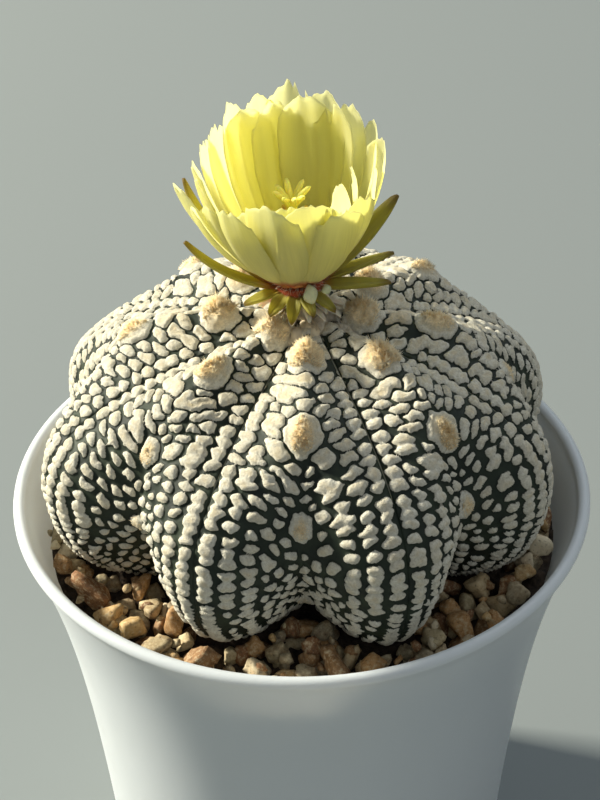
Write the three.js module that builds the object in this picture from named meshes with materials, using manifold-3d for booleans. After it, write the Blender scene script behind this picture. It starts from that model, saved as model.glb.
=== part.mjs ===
// Potted star cactus in flower. Millimetres, +Z up. The origin is the centre of the pot's foot, where
// it meets the table, and the front of the plant faces -Y.
import * as THREE from "three";
import { mergeVertices } from "three/addons/utils/BufferGeometryUtils.js";
import Module from "manifold-3d";

const wasm = await Module();
wasm.setup();

// Fit between neighbouring pieces
const GAP = 0.4;
const REST_GAP = 0.3;
const ROOT_GAP = 0.8;
const GRIT_GAP = 1.6;
const WALL_CHORD = 0.15;

// Pot
const POT_HEIGHT = 100;
const RIM_RADIUS = 52.5;
const WALL = 1.8;
const LIP_THICKNESS = 2.2;
const POT_SIDES = 36;
const WALL_STEPS = [100, 70, 46, 29, 17, 8, 3];
const FLARE_BASE_RADIUS = 43.8;
const FLARE_TAPER = 0.05;
const FLARE_GROWTH = 8.7;
const FLARE_LENGTH = 26;
const FOOT_RECESS = 3;
const FOOT_RING_WIDTH = 3;
const FLOOR_THICKNESS = 2;
const CENTRE_DRAIN_RADIUS = 5;
const DRAIN_RADIUS = 4;
const DRAIN_CIRCLE_RADIUS = 22;
const DRAIN_COUNT = 6;
const DRAIN_SIDES = 12;

// Soil and grit. Depths are measured down from the rim.
const SOIL_DEPTH = 17;
const GRIT_BED_DEPTH = 11;
const SOIL_SIDES = 28;
const STONE_RADII = [2.6, 4.2];
const STONE_TRIES = 6000;
const STONE_SPACING = 1;
const STONE_WALL_REACH = 0.9;
const STONE_LIFT = 0.35;
const STONE_JITTER = 0.22;
const STONE_LENGTHS = [0.85, 1.15];
const STONE_WIDTHS = [0.75, 1];
const SMALL_STONES = 1.5;
const GRIT_SEED = 11;

// Cactus body. Its outlines run from the crown to the root tip as (radius, height over the rim),
// one through the crest of a rib and one through a valley between ribs.
const RIBS = 8;
const FIRST_VALLEY = THREE.MathUtils.degToRad(-93.1);
const BODY_CENTRE = [1.85, 0.9];
const CREST_SHARPNESS = 0.73;
const CREST_OUTLINE = [
  [0, 34.4], [12, 32.5], [23.5, 29.8], [33.3, 26], [40.3, 21.6], [45, 15.8], [46.2, 8], [44, -1.5],
  [38.5, -8], [27, -13], [16, -17.5], [9, -24], [6, -34], [3.5, -46], [0, -56],
];
const VALLEY_OUTLINE = [
  [0, 34.4], [10.7, 34.9], [20.3, 33.9], [27.8, 31.5], [32.3, 27.4], [36.6, 20.3], [38.4, 12],
  [34.8, 3.8], [29.4, -4], [22, -12], [16, -17.5], [9, -24], [6, -34], [3.5, -46], [0, -56],
];
const NECK_STATION = 10;
const LOBES = [0.98, 0.96, 0.96, 1.06, 1.05, 1.04, 1.05, 0.98];
const CREASE_DEPTH = 0.7;
const FLECK_HEIGHTS = [0.55, 1];
const FLECK_STATIONS = [0.55, 8.7];
const RING_STEP = 2.75;
const ROOT_RING_STEP = 8;
const VERTEX_STEP = 2.6;
const STATION_STEP = 0.02;
const ROOT_SIDES = 16;
const ROOM_TOP_STATION = 7;
const GRIT_HOLE_SIDES = 40;
const BODY_SEED = 5;

// Areoles of each valley, by station along the outline, from the front valley anticlockwise
const AREOLE_STATIONS = [
  [1.26, 3.27, 5.26, 7.9], [1.74, 4.09, 5.66, 7.4], [0.88, 2.28, 4.64, 6.4], [1.29, 2.89, 4.9, 6.8],
  [0.8, 2.3, 4.6, 6.5], [1.5, 3.4, 5.4, 7.2], [1.4, 3.25, 5.2, 7.0], [0.75, 2.14, 4.55, 6.09],
];
const AREOLE_RADII = [2.3, 2.5, 2.1, 1.7];
const AREOLE_HEIGHT = 1.5;
const AREOLE_LENGTHENING = 1.15;
const AREOLE_LIFT = 0.35;

// Flower. Its base is the top of the short tube, and heights in it are over that base.
const FLOWER_BASE = [0, 0.9, 42.2];
const LEAN_FORWARD = THREE.MathUtils.degToRad(3);
const LEAN_LEFT = THREE.MathUtils.degToRad(4);
const TUBE_PROFILE = [[2.7, -7], [3.1, -4.5], [3.9, 0]];
const CUP_PROFILE = [[3.6, 0], [5.2, 1.6], [6.2, 3.2], [5.3, 3.4], [4.2, 1.6], [0, 1.6]];
const CUP_FLOOR = 1.6;
const BLADE_THICKNESS = 0.7;
const ARC_STEPS = 12;
const PETAL_RINGS = [
  { count: 8, length: 30, width: 8.4, start: 31, end: -1, turn: 4, root: 4.1 },
  { count: 8, length: 28.5, width: 8.6, start: 39, end: -2, turn: 26, root: 4.4 },
  { count: 8, length: 26, width: 8.4, start: 48, end: 0, turn: 10, root: 4.7 },
];
const PETAL_OUTLINE = [[0, 0.34], [0.22, 0.66], [0.55, 1], [0.85, 0.86], [1, 0.4]];
const PETAL_CUP = 0.16;
const FRONT_SHORTER = 0.14;
const FRONT_WIDER = 16;
const FLOWER_SEED = 23;

// Sepals and bracts: azimuth, length, width, then the tilt from upright at the root and at the tip
const BRACTS = [
  [21, 20.5, 5, 60, 38], [30, 15, 2.4, 68, 62], [20, 15, 3.2, 82, 80], [-6, 13, 3.4, 86, 84],
  [178, 26.5, 4.4, 62, 12], [-168, 20, 3.2, 80, 46], [152, 13, 3.4, 82, 70], [128, 15, 3.0, 84, 74],
  [92, 14, 3.2, 84, 78], [58, 15, 3.0, 84, 74], [-152, 7.5, 2.8, 92, 100], [-124, 6, 2.4, 100, 112],
  [-98, 6.5, 2.6, 104, 116], [-72, 5.5, 2.4, 102, 114], [-48, 6.5, 2.4, 96, 106],
];
const BRACT_OUTLINE = [[0, 0.7], [0.4, 1], [0.8, 0.6], [1, 0.2]];
const BRACT_ROOT_RADIUS = 2.9;
const BRACT_ROOT_HEIGHT = -1.6;

// Stamens and pistil
const FILAMENTS = 12;
const FILAMENT_RADIUS = 0.36;
const FILAMENT_HEIGHTS = [6.5, 9];
const FILAMENT_REACHES = [4.2, 5.6];
const ANTHER_RADII = [0.6, 0.6, 0.9];
const STAMEN_RING = { inner: 1.5, outer: 3.3, height: 1 };
const STYLE_RADIUS = 0.8;
const STYLE_HEIGHT = 13.4;
const STYLE_LEAN = 0.2;
const STIGMA_LOBES = 7;
const STIGMA_LENGTH = 4.6;
const STIGMA_TILT = 34;
const STIGMA_TURN = 0.3;
const STIGMA_HUB_RADIUS = 1.25;
const STIGMA_LOBE_RADII = [0.55, 0.35];

// A repeatable stream of numbers between 0 and 1
function randomStream(seed) {
  let state = seed;
  return () => {
    state = (state * 1664525 + 1013904223) % 4294967296;
    return state / 4294967296;
  };
}

function between(range, share) {
  return THREE.MathUtils.lerp(range[0], range[1], share);
}

// Joins and cuts

function signedVolume(positions, triangles) {
  const [a, b, c] = [new THREE.Vector3(), new THREE.Vector3(), new THREE.Vector3()];
  let volume = 0;
  for (let i = 0; i < triangles.length; i += 3) {
    a.fromArray(positions, 3 * triangles[i]);
    b.fromArray(positions, 3 * triangles[i + 1]);
    c.fromArray(positions, 3 * triangles[i + 2]);
    volume += a.dot(b.cross(c)) / 6;
  }
  return volume;
}

function toSolid(geometry) {
  const bare = geometry.clone();
  bare.deleteAttribute("normal");
  bare.deleteAttribute("uv");
  const merged = mergeVertices(bare, 1e-4);
  const positions = merged.attributes.position.array;
  const triangles = [];
  for (let i = 0; i < merged.index.count; i += 3) {
    const [a, b, c] = [0, 1, 2].map((k) => merged.index.getX(i + k));
    if (a !== b && b !== c && c !== a) {
      triangles.push(a, b, c);
    }
  }
  if (signedVolume(positions, triangles) < 0) {
    triangles.reverse();
  }
  const mesh = new wasm.Mesh({
    numProp: 3,
    vertProperties: Float32Array.from(positions),
    triVerts: Uint32Array.from(triangles),
  });
  return new wasm.Manifold(mesh);
}

function fuse(solids) {
  return solids.reduce((whole, solid) => whole.add(solid));
}

function toGeometry(solid) {
  const mesh = solid.getMesh();
  const geometry = new THREE.BufferGeometry();
  geometry.setAttribute("position", new THREE.BufferAttribute(Float32Array.from(mesh.vertProperties), 3));
  geometry.setIndex(new THREE.BufferAttribute(Uint32Array.from(mesh.triVerts), 1));
  geometry.computeVertexNormals();
  return geometry;
}

// A solid of revolution about +Z from a closed list of (radius, height)
function turned(profile, sides) {
  const points = profile.map(([radius, height]) => new THREE.Vector2(radius, height));
  return new THREE.LatheGeometry(points, sides).rotateX(Math.PI / 2);
}

function piece(name, solid, colour, roughness) {
  const material = new THREE.MeshStandardMaterial({ color: colour, roughness, metalness: 0 });
  const mesh = new THREE.Mesh(toGeometry(solid), material);
  mesh.name = name;
  return mesh;
}

// Pot

function potRadius(depth) {
  return FLARE_BASE_RADIUS - FLARE_TAPER * depth + FLARE_GROWTH * Math.exp(-depth / FLARE_LENGTH);
}

function makePot() {
  const footRadius = potRadius(POT_HEIGHT);
  const floorTop = FOOT_RECESS + FLOOR_THICKNESS;
  const lipRadius = LIP_THICKNESS / 2;
  const outside = WALL_STEPS.map((depth) => [potRadius(depth), POT_HEIGHT - depth]);
  const lip = [-20, 25, 65, 115, 155, 200].map((degrees) => {
    const angle = THREE.MathUtils.degToRad(degrees);
    return [
      RIM_RADIUS - lipRadius + lipRadius * Math.cos(angle),
      POT_HEIGHT - lipRadius + lipRadius * Math.sin(angle),
    ];
  });
  const inside = WALL_STEPS.slice(1).reverse().map((depth) => [potRadius(depth) - WALL, POT_HEIGHT - depth]);
  const profile = [
    [0, FOOT_RECESS],
    [footRadius - FOOT_RING_WIDTH, FOOT_RECESS],
    [footRadius - FOOT_RING_WIDTH, 0],
    ...outside,
    ...lip,
    ...inside,
    [potRadius(POT_HEIGHT - floorTop) - WALL, floorTop],
    [0, floorTop],
  ];
  const holes = [drainHole(0, 0, CENTRE_DRAIN_RADIUS)];
  for (let i = 0; i < DRAIN_COUNT; i++) {
    const angle = (2 * Math.PI * i) / DRAIN_COUNT;
    const [x, y] = [Math.cos(angle), Math.sin(angle)].map((part) => part * DRAIN_CIRCLE_RADIUS);
    holes.push(drainHole(x, y, DRAIN_RADIUS));
  }
  const solid = holes.reduce((body, hole) => body.subtract(hole), toSolid(turned(profile, POT_SIDES)));
  return piece("pot", solid, 0xe9ebec, 0.45);
}

function drainHole(x, y, radius) {
  const height = 4 * (FOOT_RECESS + FLOOR_THICKNESS);
  const cylinder = new THREE.CylinderGeometry(radius, radius, height, DRAIN_SIDES).rotateX(Math.PI / 2);
  return toSolid(cylinder.translate(x, y, 0));
}

// Cactus body

function outlineAt(outline, station) {
  const points = outline.map(([radius, height]) => new THREE.Vector2(radius, height));
  return new THREE.SplineCurve(points).getPoint(station / (outline.length - 1));
}

function lobeScale(azimuth) {
  const place = (azimuth - FIRST_VALLEY) / ((2 * Math.PI) / RIBS) - 0.5;
  const before = Math.floor(place);
  const blend = 0.5 - 0.5 * Math.cos(Math.PI * (place - before));
  const at = (index) => LOBES[((index % RIBS) + RIBS) % RIBS];
  return THREE.MathUtils.lerp(at(before), at(before + 1), blend);
}

// 0 in a valley and 1 on a crest
function crestShare(azimuth) {
  const wave = 0.5 - 0.5 * Math.cos(RIBS * (azimuth - FIRST_VALLEY));
  return Math.max(wave, 0) ** CREST_SHARPNESS;
}

function bodyPoint(station, azimuth) {
  const crest = outlineAt(CREST_OUTLINE, station);
  const valley = outlineAt(VALLEY_OUTLINE, station);
  const blend = valley.lerp(crest, crestShare(azimuth));
  const lobed = THREE.MathUtils.clamp(NECK_STATION - station, 0, 1);
  const radius = blend.x * THREE.MathUtils.lerp(1, lobeScale(azimuth), lobed);
  return new THREE.Vector3(
    BODY_CENTRE[0] + radius * Math.cos(azimuth),
    BODY_CENTRE[1] + radius * Math.sin(azimuth),
    POT_HEIGHT + blend.y,
  );
}

function bodyNormal(station, azimuth) {
  const along = bodyPoint(station + STATION_STEP, azimuth).sub(bodyPoint(station - STATION_STEP, azimuth));
  const around = bodyPoint(station, azimuth + STATION_STEP).sub(bodyPoint(station, azimuth - STATION_STEP));
  return along.cross(around).normalize();
}

// Stations at which the crest outline has gone on by one ring step, with longer steps on the root
function ringStations() {
  const stations = [];
  let travelled = 0;
  let last = outlineAt(CREST_OUTLINE, 0);
  const rootTip = CREST_OUTLINE.length - 1;
  for (let station = STATION_STEP; station < rootTip - 2 * STATION_STEP; station += STATION_STEP) {
    const here = outlineAt(CREST_OUTLINE, station);
    travelled += here.distanceTo(last);
    last = here;
    if (travelled >= (station < NECK_STATION - 1 ? RING_STEP : ROOT_RING_STEP)) {
      stations.push(station);
      travelled = 0;
    }
  }
  return stations;
}

// Every ring has a vertex in each valley and on each crest, and rows of flecks stand out between
function bodyRing(station, row, random) {
  const radius = outlineAt(VALLEY_OUTLINE, station).x;
  const sideSteps = Math.max(1, Math.round((2 * Math.PI * radius) / VERTEX_STEP / (2 * RIBS)));
  const count = station < NECK_STATION ? 2 * RIBS * sideSteps : ROOT_SIDES;
  const flecked = station > FLECK_STATIONS[0] && station < FLECK_STATIONS[1];
  const ring = [];
  for (let i = 0; i < count; i++) {
    const azimuth = FIRST_VALLEY + (2 * Math.PI * i) / count;
    const inRib = i % (2 * sideSteps);
    const fromValley = Math.min(inRib, 2 * sideSteps - inRib);
    const point = bodyPoint(station, azimuth);
    let lift = 0;
    if (flecked && fromValley === sideSteps) {
      lift = -CREASE_DEPTH;
    } else if (flecked && (fromValley + row) % 3 === 0) {
      lift = between(FLECK_HEIGHTS, random());
    }
    if (lift !== 0) {
      point.addScaledVector(bodyNormal(station, azimuth), lift);
    }
    ring.push(point);
  }
  return ring;
}

// Triangles between two closed rings that start at the same azimuth
function stitch(upper, lower, upperStart, lowerStart, triangles) {
  let [i, j] = [0, 0];
  while (i < upper || j < lower) {
    const [a, b] = [upperStart + (i % upper), lowerStart + (j % lower)];
    if (j >= lower || (i < upper && (i + 1) / upper <= (j + 1) / lower)) {
      triangles.push(a, b, upperStart + ((i + 1) % upper));
      i += 1;
    } else {
      triangles.push(a, b, lowerStart + ((j + 1) % lower));
      j += 1;
    }
  }
}

function closeRings(rings) {
  const triangles = [];
  let start = 0;
  for (let i = 0; i + 1 < rings.length; i++) {
    const [upper, lower] = [rings[i].length, rings[i + 1].length];
    stitch(upper, lower, start, start + upper, triangles);
    start += upper;
  }
  const geometry = new THREE.BufferGeometry().setFromPoints(rings.flat());
  return toSolid(geometry.setIndex(triangles));
}

function bodySkin() {
  const random = randomStream(BODY_SEED);
  const rings = [[bodyPoint(0, 0)]];
  ringStations().forEach((station, row) => rings.push(bodyRing(station, row, random)));
  rings.push([bodyPoint(CREST_OUTLINE.length - 1, 0)]);
  return closeRings(rings);
}

// A woolly cushion that straddles the valley, longer along it than across
function areole(valley, station, radius) {
  const azimuth = FIRST_VALLEY + (2 * Math.PI * valley) / RIBS;
  const normal = bodyNormal(station, azimuth);
  const ahead = bodyPoint(station + STATION_STEP, azimuth);
  const along = ahead.sub(bodyPoint(station - STATION_STEP, azimuth)).normalize();
  const across = new THREE.Vector3().crossVectors(normal, along);
  const frame = new THREE.Matrix4().makeBasis(along, across, normal);
  const cushion = new THREE.SphereGeometry(1, 7, 4).rotateX(Math.PI / 2);
  cushion.scale(radius * AREOLE_LENGTHENING, radius, AREOLE_HEIGHT);
  const centre = bodyPoint(station, azimuth).addScaledVector(normal, AREOLE_LIFT);
  return toSolid(cushion.applyMatrix4(frame.setPosition(centre)));
}

function makeBody() {
  const cushions = AREOLE_STATIONS.flatMap((stations, valley) =>
    stations.map((station, order) => areole(valley, station, AREOLE_RADII[order])));
  return piece("cactus_body", fuse([bodySkin(), ...cushions]), 0xb9b79c, 0.8);
}

// The lower body and root without flecks, grown outwards all over
function grownBody(growth, sides) {
  const rings = [[new THREE.Vector3(...BODY_CENTRE, bodyPoint(ROOM_TOP_STATION, 0).z)]];
  for (let station = ROOM_TOP_STATION; station < CREST_OUTLINE.length - 1; station += 0.5) {
    const ring = [];
    for (let i = 0; i < sides; i++) {
      const azimuth = FIRST_VALLEY + (2 * Math.PI * i) / sides;
      ring.push(bodyPoint(station, azimuth).addScaledVector(bodyNormal(station, azimuth), growth));
    }
    rings.push(ring);
  }
  const tip = bodyPoint(CREST_OUTLINE.length - 1, 0);
  rings.push([tip.setZ(tip.z - growth)]);
  return closeRings(rings);
}

// Soil and grit

function innerRadius(depth) {
  return potRadius(depth) - WALL;
}

// What fits in the pot between two depths
function filling(depths, sides) {
  const wall = depths.map((depth) => [innerRadius(depth) - GAP - WALL_CHORD, POT_HEIGHT - depth]);
  return toSolid(turned([[0, wall[0][1]], ...wall, [0, wall.at(-1)[1]]], sides));
}

function makeSoil() {
  const bottom = POT_HEIGHT - (FOOT_RECESS + FLOOR_THICKNESS + REST_GAP);
  const soil = filling([bottom, ...WALL_STEPS.slice(1, 4), SOIL_DEPTH], SOIL_SIDES);
  return piece("soil", soil.subtract(grownBody(ROOT_GAP, ROOT_SIDES)), 0x3b2c22, 1);
}

function stone(x, y, z, radius, random) {
  const lump = toLumpy(new THREE.IcosahedronGeometry(1, 0), random);
  const [length, width, height] = [STONE_LENGTHS, STONE_WIDTHS, STONE_WIDTHS].map((range) =>
    radius * between(range, random()));
  lump.scale(length, width, height);
  lump.rotateX(Math.PI * random()).rotateZ(2 * Math.PI * random());
  return toSolid(lump.translate(x, y, z));
}

function toLumpy(geometry, random) {
  geometry.deleteAttribute("normal");
  geometry.deleteAttribute("uv");
  const lump = mergeVertices(geometry, 1e-3);
  const corners = lump.attributes.position;
  for (let i = 0; i < corners.count; i++) {
    const size = 1 - STONE_JITTER * random();
    corners.setXYZ(i, corners.getX(i) * size, corners.getY(i) * size, corners.getZ(i) * size);
  }
  return lump;
}

// Distance of the body's skin from its axis at a depth under the rim
function bodyRadiusAt(depth, azimuth) {
  let station = ROOM_TOP_STATION;
  while (bodyPoint(station, azimuth).z > POT_HEIGHT - depth) {
    station += STATION_STEP;
  }
  const skin = bodyPoint(station, azimuth);
  return Math.hypot(skin.x - BODY_CENTRE[0], skin.y - BODY_CENTRE[1]);
}

// Places for stones on the bed, clear of each other, out to the wall and in to the body
function stonePlaces(random) {
  const placed = [];
  for (let attempt = 0; attempt < STONE_TRIES; attempt++) {
    const radius = between(STONE_RADII, random() ** SMALL_STONES);
    const distance = (innerRadius(GRIT_BED_DEPTH) - STONE_WALL_REACH * radius) * Math.sqrt(random());
    const angle = 2 * Math.PI * random();
    const place = new THREE.Vector3(
      distance * Math.cos(angle), distance * Math.sin(angle), POT_HEIGHT - GRIT_BED_DEPTH);
    const [x, y] = [place.x - BODY_CENTRE[0], place.y - BODY_CENTRE[1]];
    const underBody = Math.hypot(x, y) < bodyRadiusAt(GRIT_BED_DEPTH - radius, Math.atan2(y, x));
    if (!underBody && placed.every((other) =>
      place.distanceTo(other.place) > STONE_SPACING * (radius + other.radius))) {
      placed.push({ place, radius });
    }
  }
  return placed;
}

function makeGrit() {
  const random = randomStream(GRIT_SEED);
  const stones = stonePlaces(random).map(({ place, radius }) =>
    stone(place.x, place.y, place.z + STONE_LIFT * radius, radius, random));
  const bed = filling([SOIL_DEPTH - REST_GAP, GRIT_BED_DEPTH], POT_SIDES);
  const room = filling([SOIL_DEPTH - REST_GAP, ...WALL_STEPS.slice(-2), 0], POT_SIDES);
  const clear = fuse([bed, ...stones]).intersect(room).subtract(grownBody(GRIT_GAP, GRIT_HOLE_SIDES));
  const whole = clear.decompose().sort((a, b) => b.volume() - a.volume())[0];
  return piece("grit", whole, 0x9a7350, 0.95);
}

// Flower

// A thin closed blade along an arc that starts and ends at the given tilts from upright. Both
// faces are split into triangles alike.
function blade({ length, width, start, end, outline, cup }) {
  const rows = outline.map(([share, breadth]) => {
    const point = new THREE.Vector2();
    for (let i = 0; i < ARC_STEPS; i++) {
      const along = ((i + 0.5) / ARC_STEPS) * share;
      const tilt = THREE.MathUtils.degToRad(THREE.MathUtils.lerp(start, end, along));
      point.x += (Math.sin(tilt) * length * share) / ARC_STEPS;
      point.y += (Math.cos(tilt) * length * share) / ARC_STEPS;
    }
    const tilt = THREE.MathUtils.degToRad(THREE.MathUtils.lerp(start, end, share));
    return { point, tilt, halfWidth: (width * breadth) / 2 };
  });
  const columns = [-1, 0, 1];
  const vertices = [];
  for (const face of [0.5, -0.5]) {
    for (const { point, tilt, halfWidth } of rows) {
      for (const column of columns) {
        const inward = cup * halfWidth * (2 * Math.abs(column) - 1) + face * BLADE_THICKNESS;
        vertices.push(new THREE.Vector3(
          point.x - Math.cos(tilt) * inward, column * halfWidth, point.y + Math.sin(tilt) * inward));
      }
    }
  }
  const wide = columns.length;
  const back = rows.length * wide;
  const triangles = [];
  const quad = (a, b, c, d) => triangles.push(a, b, c, a, c, d);
  for (let row = 0; row + 1 < rows.length; row++) {
    for (let column = 0; column + 1 < wide; column++) {
      const corner = row * wide + column;
      quad(corner, corner + 1, corner + wide + 1, corner + wide);
      triangles.push(back + corner, back + corner + wide + 1, back + corner + 1,
        back + corner, back + corner + wide, back + corner + wide + 1);
    }
    const [left, right] = [row * wide, row * wide + wide - 1];
    quad(left, left + wide, back + left + wide, back + left);
    quad(right, back + right, back + right + wide, right + wide);
  }
  for (let column = 0; column + 1 < wide; column++) {
    const [root, tip] = [column, (rows.length - 1) * wide + column];
    quad(root, back + root, back + root + 1, root + 1);
    quad(tip, tip + 1, back + tip + 1, back + tip);
  }
  return new THREE.BufferGeometry().setFromPoints(vertices).setIndex(triangles);
}

function setAround(geometry, azimuth, rootRadius, rootHeight) {
  geometry.translate(rootRadius, 0, rootHeight);
  return geometry.rotateZ(THREE.MathUtils.degToRad(azimuth));
}

function makePetals() {
  const random = randomStream(FLOWER_SEED);
  const solids = [toSolid(turned([[0, 0], ...CUP_PROFILE], 18))];
  for (const ring of PETAL_RINGS) {
    for (let i = 0; i < ring.count; i++) {
      const azimuth = ring.turn + (360 * (i + between([-0.12, 0.12], random()))) / ring.count;
      const front = (0.5 - 0.5 * Math.sin(THREE.MathUtils.degToRad(azimuth))) ** 2;
      const shape = blade({
        length: ring.length * between([0.95, 1.03], random()) * (1 - FRONT_SHORTER * front),
        width: ring.width * between([0.9, 1.05], random()),
        start: ring.start,
        end: ring.end + between([-5, 5], random()) + FRONT_WIDER * front,
        outline: PETAL_OUTLINE,
        cup: PETAL_CUP,
      });
      solids.push(toSolid(setAround(shape, azimuth, ring.root, CUP_FLOOR)));
    }
  }
  return piece("petals", fuse(solids), 0xe8df7a, 0.55);
}

function makeFlowerTube() {
  const foot = FLOWER_BASE[2] - CREST_OUTLINE[0][1];
  const profile = [[0, TUBE_PROFILE[0][1]], ...TUBE_PROFILE, [0, 0]];
  const lean = (BODY_CENTRE[0] - FLOWER_BASE[0]) / -foot;
  const tube = turned(profile, 12).applyMatrix4(new THREE.Matrix4().makeShear(0, 0, 0, 0, lean, 0));
  const solids = [toSolid(tube.translate(0, 0, -REST_GAP))];
  for (const [azimuth, length, width, start, end] of BRACTS) {
    const shape = blade({
      length, width, start, end, outline: BRACT_OUTLINE, cup: 0,
    });
    solids.push(toSolid(setAround(shape, azimuth, BRACT_ROOT_RADIUS, BRACT_ROOT_HEIGHT)));
  }
  return piece("flower_tube", fuse(solids), 0x8a8c4a, 0.7);
}

// A thin three-sided or four-sided rod between two points
function rod(from, to, fromRadius, toRadius, sides) {
  const axis = to.clone().sub(from);
  const shape = new THREE.CylinderGeometry(toRadius, fromRadius, axis.length(), sides);
  shape.applyQuaternion(new THREE.Quaternion().setFromUnitVectors(
    new THREE.Vector3(0, 1, 0), axis.clone().normalize()));
  const middle = from.clone().add(to).multiplyScalar(0.5);
  return toSolid(shape.translate(middle.x, middle.y, middle.z));
}

function makeStamens() {
  const random = randomStream(FLOWER_SEED);
  const bottom = CUP_FLOOR + REST_GAP;
  const { inner, outer, height } = STAMEN_RING;
  const washer = [[inner, bottom], [outer, bottom], [outer, bottom + height], [inner, bottom + height]];
  const solids = [toSolid(turned([...washer, washer[0]], 18))];
  for (let i = 0; i < FILAMENTS; i++) {
    const angle = (2 * Math.PI * i) / FILAMENTS;
    const outward = new THREE.Vector3(Math.cos(angle), Math.sin(angle), 0);
    const from = outward.clone().multiplyScalar((inner + outer) / 2).setZ(bottom + height / 2);
    const to = outward.multiplyScalar(FILAMENT_REACHES[i % 2]).setZ(between(FILAMENT_HEIGHTS, random()));
    solids.push(rod(from, to, FILAMENT_RADIUS, FILAMENT_RADIUS, 3));
    const anther = new THREE.OctahedronGeometry(1).scale(...ANTHER_RADII);
    solids.push(toSolid(anther.translate(to.x, to.y, to.z)));
  }
  return piece("stamens", fuse(solids), 0xe6c04a, 0.7);
}

function makePistil() {
  const foot = new THREE.Vector3(0, 0, CUP_FLOOR + GAP);
  const top = new THREE.Vector3(STYLE_LEAN, 0, STYLE_HEIGHT);
  const solids = [rod(foot, top, STYLE_RADIUS, STYLE_RADIUS, 8)];
  const hub = new THREE.IcosahedronGeometry(STIGMA_HUB_RADIUS, 1);
  solids.push(toSolid(hub.translate(top.x, top.y, top.z)));
  for (let i = 0; i < STIGMA_LOBES; i++) {
    const angle = (2 * Math.PI * (i + STIGMA_TURN)) / STIGMA_LOBES;
    const tilt = THREE.MathUtils.degToRad(STIGMA_TILT);
    const reach = new THREE.Vector3(
      Math.sin(tilt) * Math.cos(angle), Math.sin(tilt) * Math.sin(angle), Math.cos(tilt));
    const tip = top.clone().addScaledVector(reach, STIGMA_LENGTH);
    solids.push(rod(top, tip, ...STIGMA_LOBE_RADII, 5));
  }
  return piece("pistil", fuse(solids), 0xf2df4e, 0.5);
}

// The bloom leans a little towards the front and the left on its tube
const bloom = new THREE.Group();
bloom.add(makePetals(), makeStamens(), makePistil());
bloom.position.set(0, 0, REST_GAP);
bloom.rotation.set(LEAN_FORWARD, -LEAN_LEFT, 0);

const flower = new THREE.Group();
flower.add(makeFlowerTube(), bloom);
flower.position.set(FLOWER_BASE[0], FLOWER_BASE[1], POT_HEIGHT + FLOWER_BASE[2]);

const plant = new THREE.Group();
plant.add(makePot(), makeSoil(), makeGrit(), makeBody(), flower);
plant.updateMatrixWorld(true);

export default plant;
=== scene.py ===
# Dresses the potted star cactus: a ribbed cactus covered in cream flecks, in flower, in stone grit
# in a white pot. Lengths are in millimetres in the part's frame, and become metres in make_piece.
# Uneven surfaces are layers of noise, each of them a size, a frequency and a seed.
import math

import bmesh
import bpy
import numpy as np
from mathutils import Matrix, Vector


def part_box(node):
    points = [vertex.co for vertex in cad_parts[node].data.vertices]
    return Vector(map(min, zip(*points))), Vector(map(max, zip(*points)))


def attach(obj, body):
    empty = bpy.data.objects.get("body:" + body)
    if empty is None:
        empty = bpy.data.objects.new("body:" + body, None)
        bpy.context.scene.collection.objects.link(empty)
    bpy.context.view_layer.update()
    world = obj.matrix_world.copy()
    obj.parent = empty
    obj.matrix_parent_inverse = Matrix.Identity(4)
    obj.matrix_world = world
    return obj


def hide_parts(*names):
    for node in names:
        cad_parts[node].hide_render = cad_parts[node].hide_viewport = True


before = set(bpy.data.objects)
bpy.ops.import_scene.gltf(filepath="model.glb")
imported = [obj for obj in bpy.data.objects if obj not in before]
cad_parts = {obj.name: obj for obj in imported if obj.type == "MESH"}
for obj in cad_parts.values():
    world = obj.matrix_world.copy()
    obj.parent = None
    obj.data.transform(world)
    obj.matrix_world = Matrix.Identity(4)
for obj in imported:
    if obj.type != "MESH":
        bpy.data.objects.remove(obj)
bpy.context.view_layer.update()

MM = 0.001
TURN = 2 * math.pi
REST_GAP = 0.3
NEAR_AXIS = 0.01

# Pot, as in the frame. The foot ring's edges are (distance out from its wall, height).
POT_CORNER = np.array(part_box("pot")[1]) / MM
POT_HEIGHT = round(POT_CORNER[2])
RIM_RADIUS = round(2 * POT_CORNER[0]) / 2
WALL = 1.8
LIP_THICKNESS = 2.2
LIP_TURNS = np.radians(np.linspace(-20, 200, 17))
POT_COLUMNS = 144
WALL_ROW_STEP = 2.5
FLARE_BASE_RADIUS = 43.8
FLARE_TAPER = 0.05
FLARE_GROWTH = 8.7
FLARE_LENGTH = 26
FOOT_RECESS = 3
FOOT_RING_WIDTH = 3
RECESS_CHAMFER = 0.6
RING_INNER_EDGE = ((0, 0.5), (0.4, 0))
RING_OUTER_EDGE = ((-0.7, 0), (-0.1, 0.6))
FLOOR_THICKNESS = 2
FLOOR_FILLET = 1.5
FLOOR_ROWS_END = 2
FLOOR_RING_RADIUS = 15
DRAIN_RADII = (5, 4)
DRAIN_RING_RADIUS = 22
OUTER_DRAINS = 6
DRAIN_SIDES = 32
DRILL_LENGTH = 30
WELD_DISTANCE = 0.05

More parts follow.
